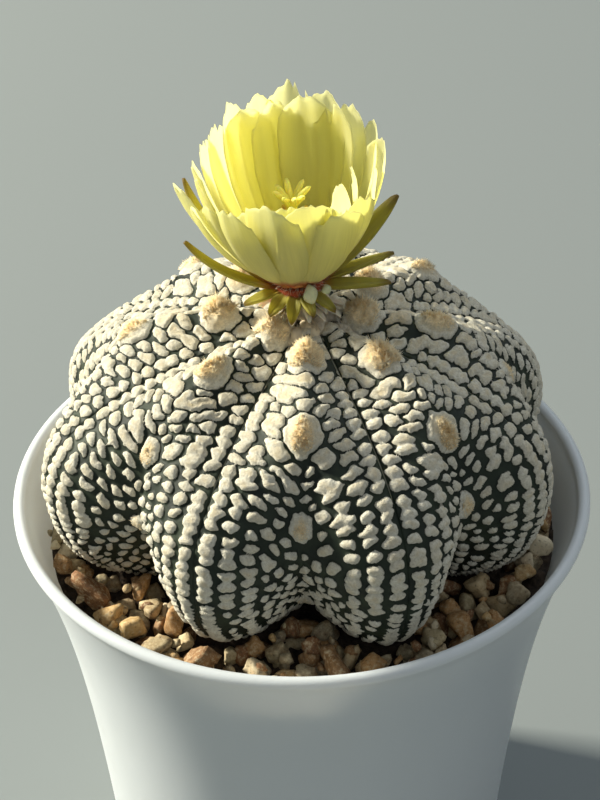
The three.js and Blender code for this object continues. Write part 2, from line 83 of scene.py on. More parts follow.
# Grit. Small stones are more common than large ones, and the pile rises near the wall, except in
# front, where the sine of the azimuth is low.
BED_DEPTHS = (11, 16.7)
BED_ROWS = (40, 4)
BED_COLUMNS = 192
BED_WALL_GAP = 0.6
BED_BODY_GAP = 0.6
BED_CRUMBS = ((0.35, 0.25, 71), (0.25, 0.7, 72))
BED_RELIEF = 0.9
STONE_LAYERS = (
    {"depth": 10.4, "radii": (2.4, 3.4), "tries": 2500, "detail": 3, "spacing": 0.8},
    {"depth": 9.0, "radii": (2.1, 3.1), "tries": 2500, "detail": 3, "spacing": 0.85},
    {"depth": 7.8, "radii": (2.5, 4.0), "tries": 5000, "detail": 3, "spacing": 0.82},
    {"depth": 7.6, "radii": (1.0, 1.5), "tries": 350, "detail": 2, "spacing": 1.0},
)
SMALLNESS = 1.6
STONE_JITTER = 0.8
STONE_WALL_GAP = 0.35
STONE_WALL_SHARE = 0.95
STONE_BODY_GAP = 0.4
STONE_BODY_SHARE = 0.9
INNERMOST_SHARE = 0.2
SIDE_PILE = 2.4
PILE_RADII = (37, 44)
PILE_SIDES = (-0.85, -0.3)
STONE_PLANES = 11
PLANE_OFFSETS = (0.52, 0.85)
LEAST_FACING = 0.1
STONE_SHARPNESS = 80
STONE_REACH = 1.25
STONE_ROUGHNESS = ((0.04, 0.8, 0), (0.03, 2.2, 1))
STONE_SIDES = ((1.0, 1.2), (0.8, 1.0), (0.68, 0.95))
STONE_SHADES = (0.75, 1.15)
STONE_COLOURS = (
    (0.46, 0.38, 0.22), (0.38, 0.31, 0.18), (0.19, 0.085, 0.03), (0.44, 0.24, 0.09), (0.32, 0.26, 0.16),
    (0.28, 0.15, 0.06), (0.44, 0.36, 0.23), (0.68, 0.59, 0.41), (0.50, 0.38, 0.21), (0.50, 0.33, 0.14),
)
GRIT_SEED = 41
# The stretches of the body's skin that the stones and the bed keep clear of, by station
BELLY_STATION = 5.5
BELLY_SAMPLING = (6, 8)
NECK_STATIONS = (7, 11, 200)

# Cactus body. Its outlines run from the crown to the root tip as (radius, height over the rim),
# one through the crest of a rib and one through a valley between ribs. A station is a place along
# them, counted in their points.
RIBS = 8
FIRST_VALLEY = math.radians(-93.1)
BODY_CENTRE = (1.85, 0.9)
CREST_SHARPNESS = 0.73
CREST_OUTLINE = (
    (0, 34.4), (12, 32.5), (23.5, 29.8), (33.3, 26), (40.3, 21.6), (45, 15.8), (46.2, 8), (44, -1.5),
    (38.5, -8), (27, -13), (16, -17.5), (9, -24), (6, -34), (3.5, -46), (0, -56),
)
VALLEY_OUTLINE = (
    (0, 34.4), (10.7, 34.9), (20.3, 33.9), (27.8, 31.5), (32.3, 27.4), (36.6, 20.3), (38.4, 12),
    (34.8, 3.8), (29.4, -4), (22, -12), (16, -17.5), (9, -24), (6, -34), (3.5, -46), (0, -56),
)
NECK_STATION = 10
ROOT_STATION = 14
LOBES = (0.98, 0.96, 0.96, 1.06, 1.05, 1.04, 1.05, 0.98)
COLUMNS = 1024
RIB_COLUMNS = COLUMNS // RIBS
HALF_RIB = RIB_COLUMNS // 2
ROW_STEP = 0.3
TOP_STATION = 0.5
EDGE_STATION = 8.7
WEDGE_DEPTH = 4
ROOT_GRID = (40, 96)
ROOT_OVERLAP = 0.3
ROOT_WAVES = ((0.3, 0.15, 61),)
ROOT_SINK = 0.4
BODY_SEED = 7

# Areoles of each valley, by station along the outline, from the front valley anticlockwise. The
# tables after them hold a value for each areole of a valley, from the crown down.
AREOLE_STATIONS = (
    (1.26, 3.27, 5.26, 7.9), (1.74, 4.09, 5.66, 7.4), (0.88, 2.28, 4.64, 6.4), (1.29, 2.89, 4.9, 6.8),
    (0.8, 2.3, 4.6, 6.5), (1.5, 3.4, 5.4, 7.2), (1.4, 3.25, 5.2, 7.0), (0.75, 2.14, 4.55, 6.09),
)
PAD_SIZES = ((3.4, 3.8), (3.2, 4.0), (2.2, 3.0), (1.8, 1.9))
WOOL_SIZES = ((2.4, 2.5, 1.5), (1.8, 2.7, 0.65), (1.3, 2.0, 0.4), (1.3, 1.4, 0.4))
WOOL_HAIRS = (1500, 850, 260, 80)
HAIR_LENGTHS = (1.8, 1.2, 0.6, 0.35)
WOOL_TINTS = (1.0, 0.95, 0.6, 0.35)
# Tufts of wool, and the hairs that stand out of them. Reaches are shares of the way to a tuft's edge.
TUFT_REACH = 1.12
TUFT_FLATNESS = 0.8
WOOLLY_SHARES = (0.5, 1.08)
WOOL_FUZZ = ((0.12, 0.5, 38), (0.12, 1.2, 39))
HAIR_WIDTH = 0.22
HAIR_REACH = 1.02
HAIR_FOOT = 0.75
HAIR_LEAN = 0.9
HAIR_BEND = 0.35
HAIR_SCATTER = 0.25
HAIR_SHARES = (0.5, 1.1)
HAIR_CLUMPS = 1.0
HAIR_SEED = 44
# Old wool round the foot of the flower tube, in lumps
WOOL_LUMPS = 13
LUMP_STATIONS = (0.3, 0.62)
LUMP_SIZE = (1.9, 1.6, 1.3)
LUMP_SCALES = (0.7, 1.15)
LUMP_ROUGHNESS = ((0.10, 0.5, 0), (0.06, 1.5, 1))
LUMP_HAIRS = 260
LUMP_HAIR_WIDTH = 0.1
LUMP_HAIR_LENGTHS = (0.5, 1.5)
LUMP_HAIR_SCATTER = 0.45

# Flecks. Sizes are half widths by station, and gaps are those between neighbours by station.
FLECK_SIZES = ((0.5, 2.0, 3.2, 4.5, 6.0, 7.2, 8.7), (1.65, 1.65, 1.45, 1.32, 1.26, 1.1, 0.95))
FLECK_GAPS = ((0.5, 2.6, 3.6, 4.6, 6.2, 7.5, 8.7), (0.30, 0.32, 0.42, 0.62, 0.68, 0.6, 0.5))
FLECK_CROWDING = ((0.5, 2.5, 4.0, 5.0, 8.7), (0.70, 0.73, 0.82, 0.88, 0.94))
FLECK_JOINS = ((0.5, 2.5, 4.0, 6.0, 8.7), (0.5, 0.4, 0.16, 0.08, 0.03))
FLECK_GROWTHS = ((0.5, 3.0, 4.5, 8.7), (0.12, 0.1, 0.0, 0.0))
FLECK_ROUNDINGS = ((0.5, 3.0, 4.5, 8.7), (0.1, 0.12, 0.2, 0.16))
FLECK_HEIGHT = 0.74
FLECK_EDGE = 0.5
FLECK_SHELF = 0.12
FLECK_REACH = 1.6
FLECK_BENDS = ((0.15, 0.33, 31), (0.06, 1.0, 34))
FLECK_DOME = (0.72, 0.28)
RING_DEPTH = 0.3
RING_SHARES = (0.4, 0.95)
PILLOW_SHARES = (0.0, 0.9)
GROUP_SWELLING = 0.2
OUTWARD_WEIGHT = 0.4
BLEND = 0.14
FAR_OUTSIDE = -9.0
PAD_HEIGHT = 0.85
PAD_TINTS = (0.1, 0.5)
LOOSE_TRIES = 30000
LOOSE_SCALES = (0.72, 1.08)
LOOSE_STRETCHES = ((1.0, 1.3), (0.55, 0.8))
LOOSE_TURN = 0.3
LOOSE_HEIGHTS = (0.85, 1.1)
LOOSE_CREST_GAP = 0.7
RINGED_SHARE = 0.2
# Flecks closer than a touching share of their sizes may grow together, a few at most
JOIN_REACH = 4.5
JOIN_SHARE = 1.1
MOST_JOINED = 4
# Settling: neighbours within reach push each other to a share of their sizes, or pull if joined
SETTLING_STEPS = 32
SETTLING_REACH = 6.5
PUSH_SHARE = 0.95
PUSH_REACH = 1.6
PULL_SHARE = 0.82
PULL_STRENGTH = 0.45
LONGEST_STEP = 0.4
# Strings of beads beside each crest: the station where each starts, how far from the crest it is,
# how often two neighbours in it are joined, and the scale of the beads across and along it
STRING_STARTS = (1.7, 2.5, 3.7)
STRING_OFFSETS = (1.95, 5.75, 9.4)
START_ROWS = (6, 12)
BEAD_JOINS = (0.66, 0.62, 0.4)
BEAD_SCALES = ((0.5, 2.0, 3.5, 6.0, 7.5, 8.7), (0.8, 0.88, 0.98, 0.98, 0.8, 0.6))
BEAD_LENGTHS = ((0.5, 5.4, 6.6, 8.7), (1.0, 1.0, 0.75, 0.62))
BEAD_SIZE = (1.66, 1.14)
BEAD_SIZE_SCATTER = (0.9, 1.08)
BEAD_STEP = 2.0
BEAD_STEP_SCATTER = (0.9, 1.1)
BEAD_HEIGHTS = (0.9, 1.12)
BEAD_TURN = 0.1
BEAD_WANDER = (0.025, 0.01)
BEAD_PAD_SHARE = 0.8
BEAD_VALLEY_SHARE = 1.3
UNLINKED_STEP = 1.22
# Low on each crest the beads become a comb of flat teeth, and some of the skin beside it stays bare
COMB_STATION = 6.2
COMB_OFFSET = 1.95
COMB_SIZE = (1.8, 0.8)
COMB_STEP = 1.55
BARE_STATION = 6.4
BARE_OFFSETS = (3.5, 5.7)
BARE_HALVES = (0, 15, 3, 6, 9, 12)
GROOVE_DEPTH = 0.45
GROOVE_WIDTH = 0.2
GROOVE_END = (3.4, 4.4)
GROOVE_FADE = 0.8
GROOVE_CLEARANCE = (0.15, 0.05)
GROOVE_NOISE = (0.4, 37)

# Flower. Its base is the top of the short tube, and heights in it are over that base.
FLOWER_BASE = (0, 0.9, 42.2)
LEAN_FORWARD = math.radians(3)
LEAN_LEFT = math.radians(4)
CUP_FLOOR = 1.6
FLOWER_SEED = 19
# How a blade is bent: along an arc in steps, with waves and ripples across it, a twist, and its edges
# and tip thinned and toothed
ARC_STEPS = 200
TIP_SQUARENESS = 2.4
TEETH_WIDTH = 2.2
TEETH_START = 0.7
BLADE_TWIST = 0.1
BLADE_WAVES = (3.1, 2.0)
BLADE_RIPPLES = (0.06, 9)
EDGE_SQUARENESS = 6
EDGE_THICKNESS = 0.25
TIP_THINNING = (1.04, 0.25)
# Petals: azimuth, length, width, then the tilt from upright at the root and at the tip
BACK_PETALS = (
    (85, 30.7, 9.2, 36, 0), (108, 29.2, 9.2, 36, 0), (133, 29.3, 8.8, 36, 0), (151, 27.6, 8.0, 38, 0),
    (60, 29.4, 9.0, 37, 0), (41, 28.8, 8.8, 41, 0), (24, 27.6, 7.6, 49, 2), (8, 26.6, 6.6, 52, 0),
    (72, 28.6, 9.2, 31, -2), (97, 28.0, 9.4, 31, -2), (123, 27.6, 9.2, 33, 0), (47, 27.8, 8.4, 35, -2),
    (165, 27.0, 6.0, 40, 2),
)
SIDE_PETALS = (
    (176, 25.2, 4.6, 44, 6), (192, 26.0, 4.4, 50, 14), (184, 23.4, 3.2, 46, 6), (-25, 24.9, 2.8, 46, -14),
    (-8, 23.0, 6.6, 52, -2), (-30, 20.6, 7.4, 46, -22), (203, 22.5, 4.0, 52, 14),
)
FRONT_PETALS = (
    (214, 22.6, 7.0, 48, 9), (232, 24.0, 9.2, 46, 8), (260, 25.8, 9.8, 42, 8), (281, 25.4, 9.8, 42, 8),
    (303, 23.8, 9.4, 50, 8), (322, 23.0, 8.0, 50, 4), (244, 21.6, 8.4, 38, 6), (270, 23.0, 8.8, 36, 6),
    (294, 22.4, 8.2, 43, 4),
)
PETAL_ROOTS = (4.1, 4.6, 4.4)
PETAL_SINK = 0.4
PETAL_THICKNESS = 0.26
PETAL_CUPS = (0.10, 0.22)
PETAL_TEETH = (0.015, 0.045)
PETAL_ROUNDING = 0.11
# Sepals and bracts, as the petals
BRACTS = (
    (21, 20.5, 5.0, 60, 38), (30, 15, 2.4, 68, 62), (20, 15, 3.2, 82, 80), (-6, 13, 3.4, 86, 84),
    (178, 26.5, 4.4, 62, 12), (-168, 20, 2.9, 76, 34), (152, 13, 3.4, 82, 70), (128, 15, 3.0, 84, 74),
    (92, 14, 3.2, 84, 78), (58, 15, 3.0, 84, 74), (-152, 7.5, 2.8, 92, 100), (-124, 6, 2.4, 100, 112),
    (-98, 6.5, 2.6, 104, 116), (-72, 5.5, 2.4, 102, 114), (-48, 6.5, 2.4, 96, 106),
)
BRACT_ROOT = (2.9, -1.3)
BRACT_THICKNESS = 0.8
# Widths of a blade from its root to its tip: the share of the way, and the share of its full width
PETAL_WIDTHS = ((0, 0.36), (0.12, 0.5), (0.3, 0.78), (0.55, 1.0), (0.78, 1.0), (0.92, 0.86), (1, 0.64))
BRACT_WIDTHS = ((0, 0.6), (0.15, 0.85), (0.4, 1.0), (0.6, 0.88), (0.85, 0.55), (1, 0.22))
# Dry scales hang from the tube: ranges of the height of their root, length, width and tilts
DRY_SCALES = 18
SCALE_ROOT_RADIUS = 3.0
SCALE_RANGES = ((-5.5, -2.2), (3.6, 5.4), (1.4, 2.2), (75, 100), (120, 165))
SCALE_THICKNESS = 0.3
# Sections of the tube and of the cup's floor, as (radius, height), and their unevenness
TUBE_SECTION = (
    (NEAR_AXIS, -7.4), (2.6, -7.4), (3.1, -6), (3.3, -4.5), (3.7, -2.5), (4.1, -0.8), (4.0, -0.2),
    (NEAR_AXIS, -0.2),
)
TUBE_ROUGHNESS = ((0.22, 0.5, 81),)
CUP_SECTION = (
    (NEAR_AXIS, 0.1), (3.7, 0.1), (4.9, 0.9), (5.6, 2.0), (5.4, 3.0), (4.4, 2.4), (3.6, 1.5),
    (NEAR_AXIS, 1.5),
)
CUP_ROUGHNESS = ((0.12, 0.7, 82),)
TUBE_COLUMNS = 48
TUBE_HAIRS = 1100
TUBE_HAIR_HEIGHTS = (-4.5, 1.0)
TUBE_HAIR_FOOT = (3.2, 0.25)
TUBE_HAIR_SCATTER = 0.35
TUBE_HAIR_LENGTHS = (1.0, 2.6)
TUBE_HAIR_WIDTH = 0.11
# Buds: azimuth, reach from the tube's axis, height, radius and how much taller than wide
BUDS = ((-72, 6.6, 0.6, 1.15, 1.6), (-48, 7.0, 0.9, 0.8, 1.1))
BUD_ROUGHNESS = ((0.05, 0.7, 91),)
STYLE_LEAN = 0.2
STYLE_HEIGHT = 13.4
STYLE_RADIUS = 0.75
STYLE_WIDENING = 0.25
STYLE_CAP = 0.5
# Fingers of the stigma. Turns are counted in fingers.
STIGMA_FINGERS = 8
STIGMA_LENGTH = 4.9
STIGMA_LENGTH_SCATTER = (0.85, 1.08)
STIGMA_THICKNESS = 1.15
STIGMA_TURN = 0.3
STIGMA_TURN_SCATTER = 0.12
STIGMA_TILTS = (24, 44)
ROD_END = 0.02
ROD_POINTS = 14
# Stamens. Each filament stands a share of a turn on from the last, and has an anther at its tip.
FILAMENTS = 90
FILAMENT_TURN = 0.618
FILAMENT_POINTS = 7
FILAMENT_RADIUS = 0.11
FILAMENT_ROOTS = (1.9, 3.4)
FILAMENT_REACHES = (3.0, 5.6)
FILAMENT_HEIGHTS = (6, 9)
ANTHER_ENDS = (-0.55, 0.75)
ANTHER_RADII = (ROD_END, 0.3, 0.42, 0.45, 0.42, 0.3, ROD_END)

# Camera and light. The camera stands where the photograph was taken from, seen from the rim's centre.
CAMERA_OFFSET = (0, -243.27, 195.04)
CAMERA_PITCH = math.radians(36.16)
CAMERA_ROLL = math.radians(0.99)
CAMERA_LENS = 76.5
SENSOR_WIDTH = 36
FLOOR_SIZE = 6000
# Lamps: name, direction from the rim's centre, distance and size in metres, power and colour
LAMPS = (
    ("key", (-0.84, 0.26, 0.48), 2.4, 0.3, 150, (1.0, 0.95, 0.81)),
    ("fill", (0.45, -0.75, 0.60), 1.3, 0.9, 1.6, (0.90, 0.95, 1.0)),
    ("sky", (0.35, 0.55, 0.80), 1.3, 0.9, 4.4, (0.86, 0.93, 1.0)),
)
STUDIO_COLOUR = (0.86, 0.92, 0.96, 1)
STUDIO_STRENGTH = 0.27


# Numbers and geometry


def noise(points, frequency, seed, waves=14):
    """Smooth noise of about unit strength, with bumps about half of 1/frequency millimetres wide."""
    rng = np.random.default_rng(seed)
    directions = rng.normal(size=(waves, 3))
    directions /= np.linalg.norm(directions, axis=1)[:, None]
    speeds = TURN * frequency * rng.uniform(0.6, 1.4, waves)
    turns = rng.uniform(0, TURN, waves)
    total = sum(
        np.sin(points @ direction * speed + turn)
        for direction, speed, turn in zip(directions, speeds, turns))
    return total * math.sqrt(2 / waves)


def layered_noise(points, layers, first_seed=0):
    """Noise of several layers, each with a size, a frequency and a seed counted from the first."""
    return sum(size * noise(points, frequency, first_seed + seed) for size, frequency, seed in layers)


def new_seed(rng):
    return int(rng.integers(1, 1 << 30))


def unit(vectors):
    return vectors / np.maximum(np.linalg.norm(vectors, axis=-1, keepdims=True), 1e-9)


def smooth_step(value, low, high):
    share = np.clip((value - low) / (high - low), 0, 1)
    return share * share * (3 - 2 * share)


def ring_angles(count):
    return TURN * np.arange(count) / count


def point_marks(count, *values):
    """Four numbers for each point, from single numbers or one for each point."""
    return np.stack([np.broadcast_to(value, count) for value in values], axis=1)


def grid_faces(rows, columns, closed=False):
    """Quads between the points of a grid; closed joins its last column to its first."""
    starts = np.arange(columns if closed else columns - 1)
    row, column = np.meshgrid(np.arange(rows - 1), starts, indexing="ij")
    after = (column + 1) % columns
    here, below = row * columns, (row + 1) * columns
    corners = [here + column, below + column, below + after, here + after]
    return np.stack([corner.ravel() for corner in corners], axis=1)


def fan(centre, ring):
    """Triangles from one point to each two neighbours in a row of points."""
    return np.stack([np.full(len(ring) - 1, centre), ring[:-1], ring[1:]], axis=1)


def flipped(faces):
    return faces[:, [0, 2, 1]]


def join_parts(parts, move=None):
    """One shape from parts of (points, faces, marks), whose faces all have as many corners."""
    points, faces, marks, start = [], [], [], 0
    for part_points, part_faces, part_marks in parts:
        points.append(part_points)
        faces.append(part_faces + start)
        marks.append(part_marks)
        start += len(part_points)
    points = np.concatenate(points)
    return move(points) if move else points, [np.concatenate(faces)], np.concatenate(marks)


def make_piece(name, shape, material, node, smooth_groups=None):
    """A mesh piece that rides on the one body. Its shape is its points, its groups of faces and its
    marks, four numbers a point for its material. Its faces are shaded smooth, or only those of the
    first few groups."""
    points, face_groups, marks = shape
    mesh = bpy.data.meshes.new(name)
    loops = np.concatenate([faces.ravel() for faces in face_groups]).astype(np.int32)
    sizes = np.concatenate([np.full(len(faces), faces.shape[1]) for faces in face_groups])
    starts = np.concatenate([[0], np.cumsum(sizes)[:-1]]).astype(np.int32)
    mesh.vertices.add(len(points))
    mesh.vertices.foreach_set("co", (points * MM).astype(np.float32).ravel())
    mesh.loops.add(len(loops))
    mesh.loops.foreach_set("vertex_index", loops)
    mesh.polygons.add(len(starts))
    mesh.polygons.foreach_set("loop_start", starts)
    mesh.update(calc_edges=True)
    smooth = np.arange(len(starts)) < sum(len(faces) for faces in face_groups[:smooth_groups])
    mesh.polygons.foreach_set("use_smooth", smooth)
    layer = mesh.color_attributes.new(name="marks", type="FLOAT_COLOR", domain="POINT")
    layer.data.foreach_set("color", marks.astype(np.float32).ravel())
    mesh.materials.append(material)
    piece = bpy.data.objects.new(name, mesh)
    bpy.context.scene.collection.objects.link(piece)
    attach(piece, "root")
    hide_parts(node)
    return piece


def hairs(roots, directions, lengths, width, marks):
    """A thin three-sided spike on each root."""
    directions = unit(directions)
    side = unit(np.cross(directions, np.roll(directions, 1, axis=1) + [0.3, 0.1, 0.2]))
    other = np.cross(directions, side)
    corners = [
        roots + (side * math.cos(turn) + other * math.sin(turn)) * width / 2
        for turn in (0, TURN / 3, 2 * TURN / 3)
    ]
    points = np.stack([*corners, roots + directions * lengths[:, None]], axis=1).reshape(-1, 3)
    pattern = np.array([(0, 1, 3), (1, 2, 3), (2, 0, 3), (0, 2, 1)])
    faces = (4 * np.arange(len(roots))[:, None, None] + pattern).reshape(-1, 3)
    return points, faces, np.repeat(marks, 4, axis=0)


def sphere_mesh(detail):
    ball = bmesh.new()
    bmesh.ops.create_icosphere(ball, subdivisions=detail, radius=1)
    points = np.array([vertex.co for vertex in ball.verts])
    faces = np.array([[vertex.index for vertex in face.verts] for face in ball.faces])
    ball.free()
    return points, faces


# Material nodes


def new_material(name):
    material = bpy.data.materials.new(name)
    material.use_nodes = True
    return material, material.node_tree, material.node_tree.nodes["Principled BSDF"]


def fill_input(tree, node, key, value):
    """Links a socket to one of a node's inputs, or sets the input to a value."""
    if isinstance(value, bpy.types.NodeSocket):
        tree.links.new(value, node.inputs[key])
    else:
        node.inputs[key].default_value = value


def add_node(tree, kind, inputs, **settings):
    """A shader node with its settings, and with values or links on its inputs."""
    node = tree.nodes.new("ShaderNode" + kind)
    for key, value in settings.items():
        setattr(node, key, value)
    for key, value in inputs.items():
        fill_input(tree, node, key, value)
    return node


def mix_colours(tree, share, first, second):
    inputs = {0: share}
    for key, value in ((6, first), (7, second)):
        inputs[key] = value if isinstance(value, bpy.types.NodeSocket) else (*value, 1)
    return add_node(tree, "Mix", inputs, data_type="RGBA").outputs[2]


def multiply(tree, first, second):
    return add_node(tree, "Math", {0: first, 1: second}, operation="MULTIPLY").outputs[0]


def rescale(tree, value, from_low, from_high, to_low=0.0, to_high=1.0):
    inputs = {
        "Value": value, "From Min": from_low, "From Max": from_high, "To Min": to_low, "To Max": to_high,
    }
    return add_node(tree, "MapRange", inputs).outputs[0]


def noise_node(tree, width, detail=3.0, roughness=0.5):
    """Noise whose bumps are about width millimetres across."""
    place = add_node(tree, "TexCoord", {}).outputs["Object"]
    inputs = {"Vector": place, "Scale": 1 / (width * MM), "Detail": detail, "Roughness": roughness}
    return add_node(tree, "TexNoise", inputs).outputs["Fac"]


def marks_node(tree):
    """The four numbers of each point, as a colour and as its red, green, blue and alpha."""
    node = add_node(tree, "Attribute", {}, attribute_name="marks")
    split = add_node(tree, "SeparateColor", {"Color": node.outputs["Color"]})
    return node.outputs["Color"], *split.outputs, node.outputs["Alpha"]


def add_bump(tree, surface, height, depth):
    bump = add_node(tree, "Bump", {"Height": height, "Distance": depth * MM, "Strength": 1.0})
    tree.links.new(bump.outputs[0], surface.inputs["Normal"])


def finish_surface(tree, surface, colour, roughness, **settings):
    """Links or sets the colour and roughness, and sets what is the same all over."""
    fill_input(tree, surface, "Base Color", colour)
    fill_input(tree, surface, "Roughness", roughness)
    for key, value in settings.items():
        surface.inputs[key.replace("_", " ")].default_value = value


def let_light_through(tree, surface, share, colour):
    """Lets a share of the light pass through to the other side, as in thin leaves and thin plastic."""
    through = add_node(tree, "BsdfTranslucent", {"Color": colour})
    mixed = add_node(tree, "MixShader", {0: share, 1: surface.outputs[0], 2: through.outputs[0]})
    tree.links.new(mixed.outputs[0], tree.nodes["Material Output"].inputs["Surface"])


def plastic_material():
    material, tree, surface = new_material("white_plastic")
    cloud = noise_node(tree, 30, 2)
    grain = noise_node(tree, 0.5, 2)
    colour = mix_colours(tree, cloud, (0.71, 0.765, 0.80), (0.75, 0.805, 0.84))
    roughness = rescale(tree, noise_node(tree, 6, 4), 0.3, 0.7, 0.34, 0.46)
    finish_surface(tree, surface, colour, roughness, Subsurface_Weight=0.2, Subsurface_Scale=0.002,
                   Subsurface_Radius=(1.0, 0.95, 0.9), IOR=1.49)
    add_bump(tree, surface, grain, 0.02)
    let_light_through(tree, surface, 0.26, (1.0, 0.95, 0.87, 1))
    return material


def soil_material():
    material, tree, surface = new_material("potting_soil")
    crumbs = noise_node(tree, 1.6, 6, 0.7)
    light = rescale(tree, crumbs, 0.35, 0.65)
    finish_surface(tree, surface, mix_colours(tree, light, (0.018, 0.012, 0.008), (0.09, 0.06, 0.038)), 0.95)
    add_bump(tree, surface, crumbs, 1.2)
    return material


def stone_material():
    """The marks hold each stone's own colour, and alpha isn't used."""
    material, tree, surface = new_material("broken_stone")
    own = marks_node(tree)[0]
    patches = noise_node(tree, 2.4, 5, 0.6)
    grain = noise_node(tree, 0.8, 5, 0.7)
    stained = mix_colours(tree, rescale(tree, patches, 0.45, 0.7, 0, 0.4), own, (0.36, 0.19, 0.07))
    dusted = mix_colours(tree, rescale(tree, grain, 0.5, 0.66, 0, 0.6), stained, (0.66, 0.57, 0.37))
    pitted = mix_colours(tree, rescale(tree, grain, 0.45, 0.32, 0, 0.75), dusted, (0.07, 0.045, 0.025))
    roughness = rescale(tree, patches, 0.3, 0.7, 0.6, 0.9)
    finish_surface(tree, surface, pitted, roughness)
    add_bump(tree, surface, grain, 0.25)
    return material


def skin_material():
    """Red is 0.5 at a fleck's outline and more inside it. Green is a fleck's own tint up to 0.5, and
    above that how woolly it is. Blue is how far the crest is in units of 2 mm, and alpha is 1 in the
    hollow middle of a ringed fleck."""
    material, tree, surface = new_material("flecked_skin")
    _, inside, look, crest, hollow = marks_node(tree)
    fleck = rescale(tree, inside, 0.49, 0.525)
    cells = rescale(tree, noise_node(tree, 5, 4), 0.35, 0.7)
    green = mix_colours(tree, cells, (0.008, 0.014, 0.009), (0.024, 0.036, 0.020))
    # The pale line mixed in along each crest is a painted highlight: the ridge's light painted into the
    # skin's colour.
    seam = mix_colours(tree, rescale(tree, crest, 0.065, 0.03), green, (0.42, 0.42, 0.34))
    felt = noise_node(tree, 0.4, 5, 0.7)
    clouds = noise_node(tree, 1.1, 3)
    tint = rescale(tree, look, 0.0, 0.5)
    cream = mix_colours(tree, tint, (0.80, 0.78, 0.67), (0.74, 0.70, 0.57))
    shade = multiply(tree, rescale(tree, inside, 0.6, 0.9), rescale(tree, clouds, 0.32, 0.6))
    warm = mix_colours(tree, multiply(tree, shade, 0.75), cream, (0.66, 0.56, 0.37))
    ringed = mix_colours(tree, multiply(tree, hollow, 0.4), warm, (0.58, 0.47, 0.28))
    wool = multiply(tree, rescale(tree, look, 0.52, 1.0), 0.9)
    tufted = mix_colours(tree, wool, ringed, (0.96, 0.74, 0.42))
    # The darker brown mixed in where the felt noise is low is painted shade in the hollows of the felt's
    # bump, on flecks and tufts alike.
    woolly = mix_colours(tree, rescale(tree, felt, 0.35, 0.6, 0.5, 0), tufted, (0.38, 0.34, 0.24))
    colour = mix_colours(tree, fleck, seam, woolly)
    roughness = rescale(tree, fleck, 0, 1, 0.6, 0.95)
    finish_surface(tree, surface, colour, roughness, Specular_IOR_Level=0.3)
    add_bump(tree, surface, multiply(tree, felt, rescale(tree, fleck, 0, 1, 0.15, 1)), 0.4)
    return material


def wool_material():
    """Red is how light a hair is, green is its tint, and blue is how grey with age it is."""
    material, tree, surface = new_material("areole_wool")
    _, light, tint, age, _ = marks_node(tree)
    curl = noise_node(tree, 0.3, 4, 0.7)
    deep = mix_colours(tree, tint, (0.85, 0.57, 0.24), (0.99, 0.80, 0.45))
    colour = mix_colours(tree, light, deep, (1.0, 0.88, 0.62))
    old = mix_colours(tree, age, colour, (0.66, 0.61, 0.51))
    shaded = mix_colours(tree, rescale(tree, curl, 0.35, 0.6, 0.08, 0), old, (0.34, 0.26, 0.17))
    finish_surface(tree, surface, shaded, 0.95)
    add_bump(tree, surface, curl, 0.12)
    return material


def leaf_material(name, root, blade, tip, glow, streak, through, reach):
    """A thin blade that lets a share of the light through. Red runs from its root to its tip, green
    across it, and reach is how far up the colour of its root goes."""
    material, tree, surface = new_material(name)
    _, along, across, tint, _ = marks_node(tree)
    stretched = add_node(tree, "CombineXYZ", {0: multiply(tree, across, 9.0), 1: along, 2: tint})
    inputs = {"Vector": stretched.outputs[0], "Scale": 2.2, "Detail": 4.0, "Roughness": 0.6}
    lines = add_node(tree, "TexNoise", inputs).outputs["Fac"]
    body = mix_colours(tree, rescale(tree, lines, 0.4, 0.7, 0, 0.5), blade, streak)
    body = mix_colours(tree, rescale(tree, along, 0.8, 1.0, 0, 0.9), body, tip)
    body = mix_colours(tree, rescale(tree, along, reach, 0.3 * reach), body, root)
    finish_surface(tree, surface, body, 0.42, Sheen_Weight=0.1)
    add_bump(tree, surface, lines, 0.12)
    let_light_through(tree, surface, through, mix_colours(tree, 0.55, body, glow))
    return material


def waxy_material(name, dark, light, width, roughness, end=None):
    """A soft, mottled plant surface. Red runs from its root to its tip, which end can colour."""
    material, tree, surface = new_material(name)
    along = marks_node(tree)[1]
    spots = noise_node(tree, width, 4, 0.6)
    mottled = add_node(tree, "Math", {0: spots, 1: along}, operation="ADD").outputs[0]
    colour = mix_colours(tree, rescale(tree, mottled, 0.5, 1.5), dark, light)
    if end:
        colour = mix_colours(tree, rescale(tree, along, 0.72, 0.86), colour, end)
    finish_surface(tree, surface, colour, roughness, Subsurface_Weight=0.15, Subsurface_Scale=0.001)
    add_bump(tree, surface, spots, 0.1)
    return material


def floor_material():
    material, tree, surface = new_material("pale_floor")
    colour = mix_colours(tree, noise_node(tree, 400, 2), (0.205, 0.228, 0.228), (0.215, 0.238, 0.238))
    finish_surface(tree, surface, colour, 0.8, Specular_IOR_Level=0.1)
    return material


# Pot


def pot_radius(depth):
    return FLARE_BASE_RADIUS - FLARE_TAPER * depth + FLARE_GROWTH * np.exp(-depth / FLARE_LENGTH)


def turned_faces(profile, columns):
    """Points and quads of a closed profile of (radius, height) turned about the pot's axis."""
    angles = ring_angles(columns)
    radii, heights = np.array(profile, float).T
    points = np.stack([
        radii[:, None] * np.cos(angles), radii[:, None] * np.sin(angles),
        np.repeat(heights[:, None], columns, axis=1),
    ], axis=-1)
    return points.reshape(-1, 3), grid_faces(len(profile), columns, closed=True)


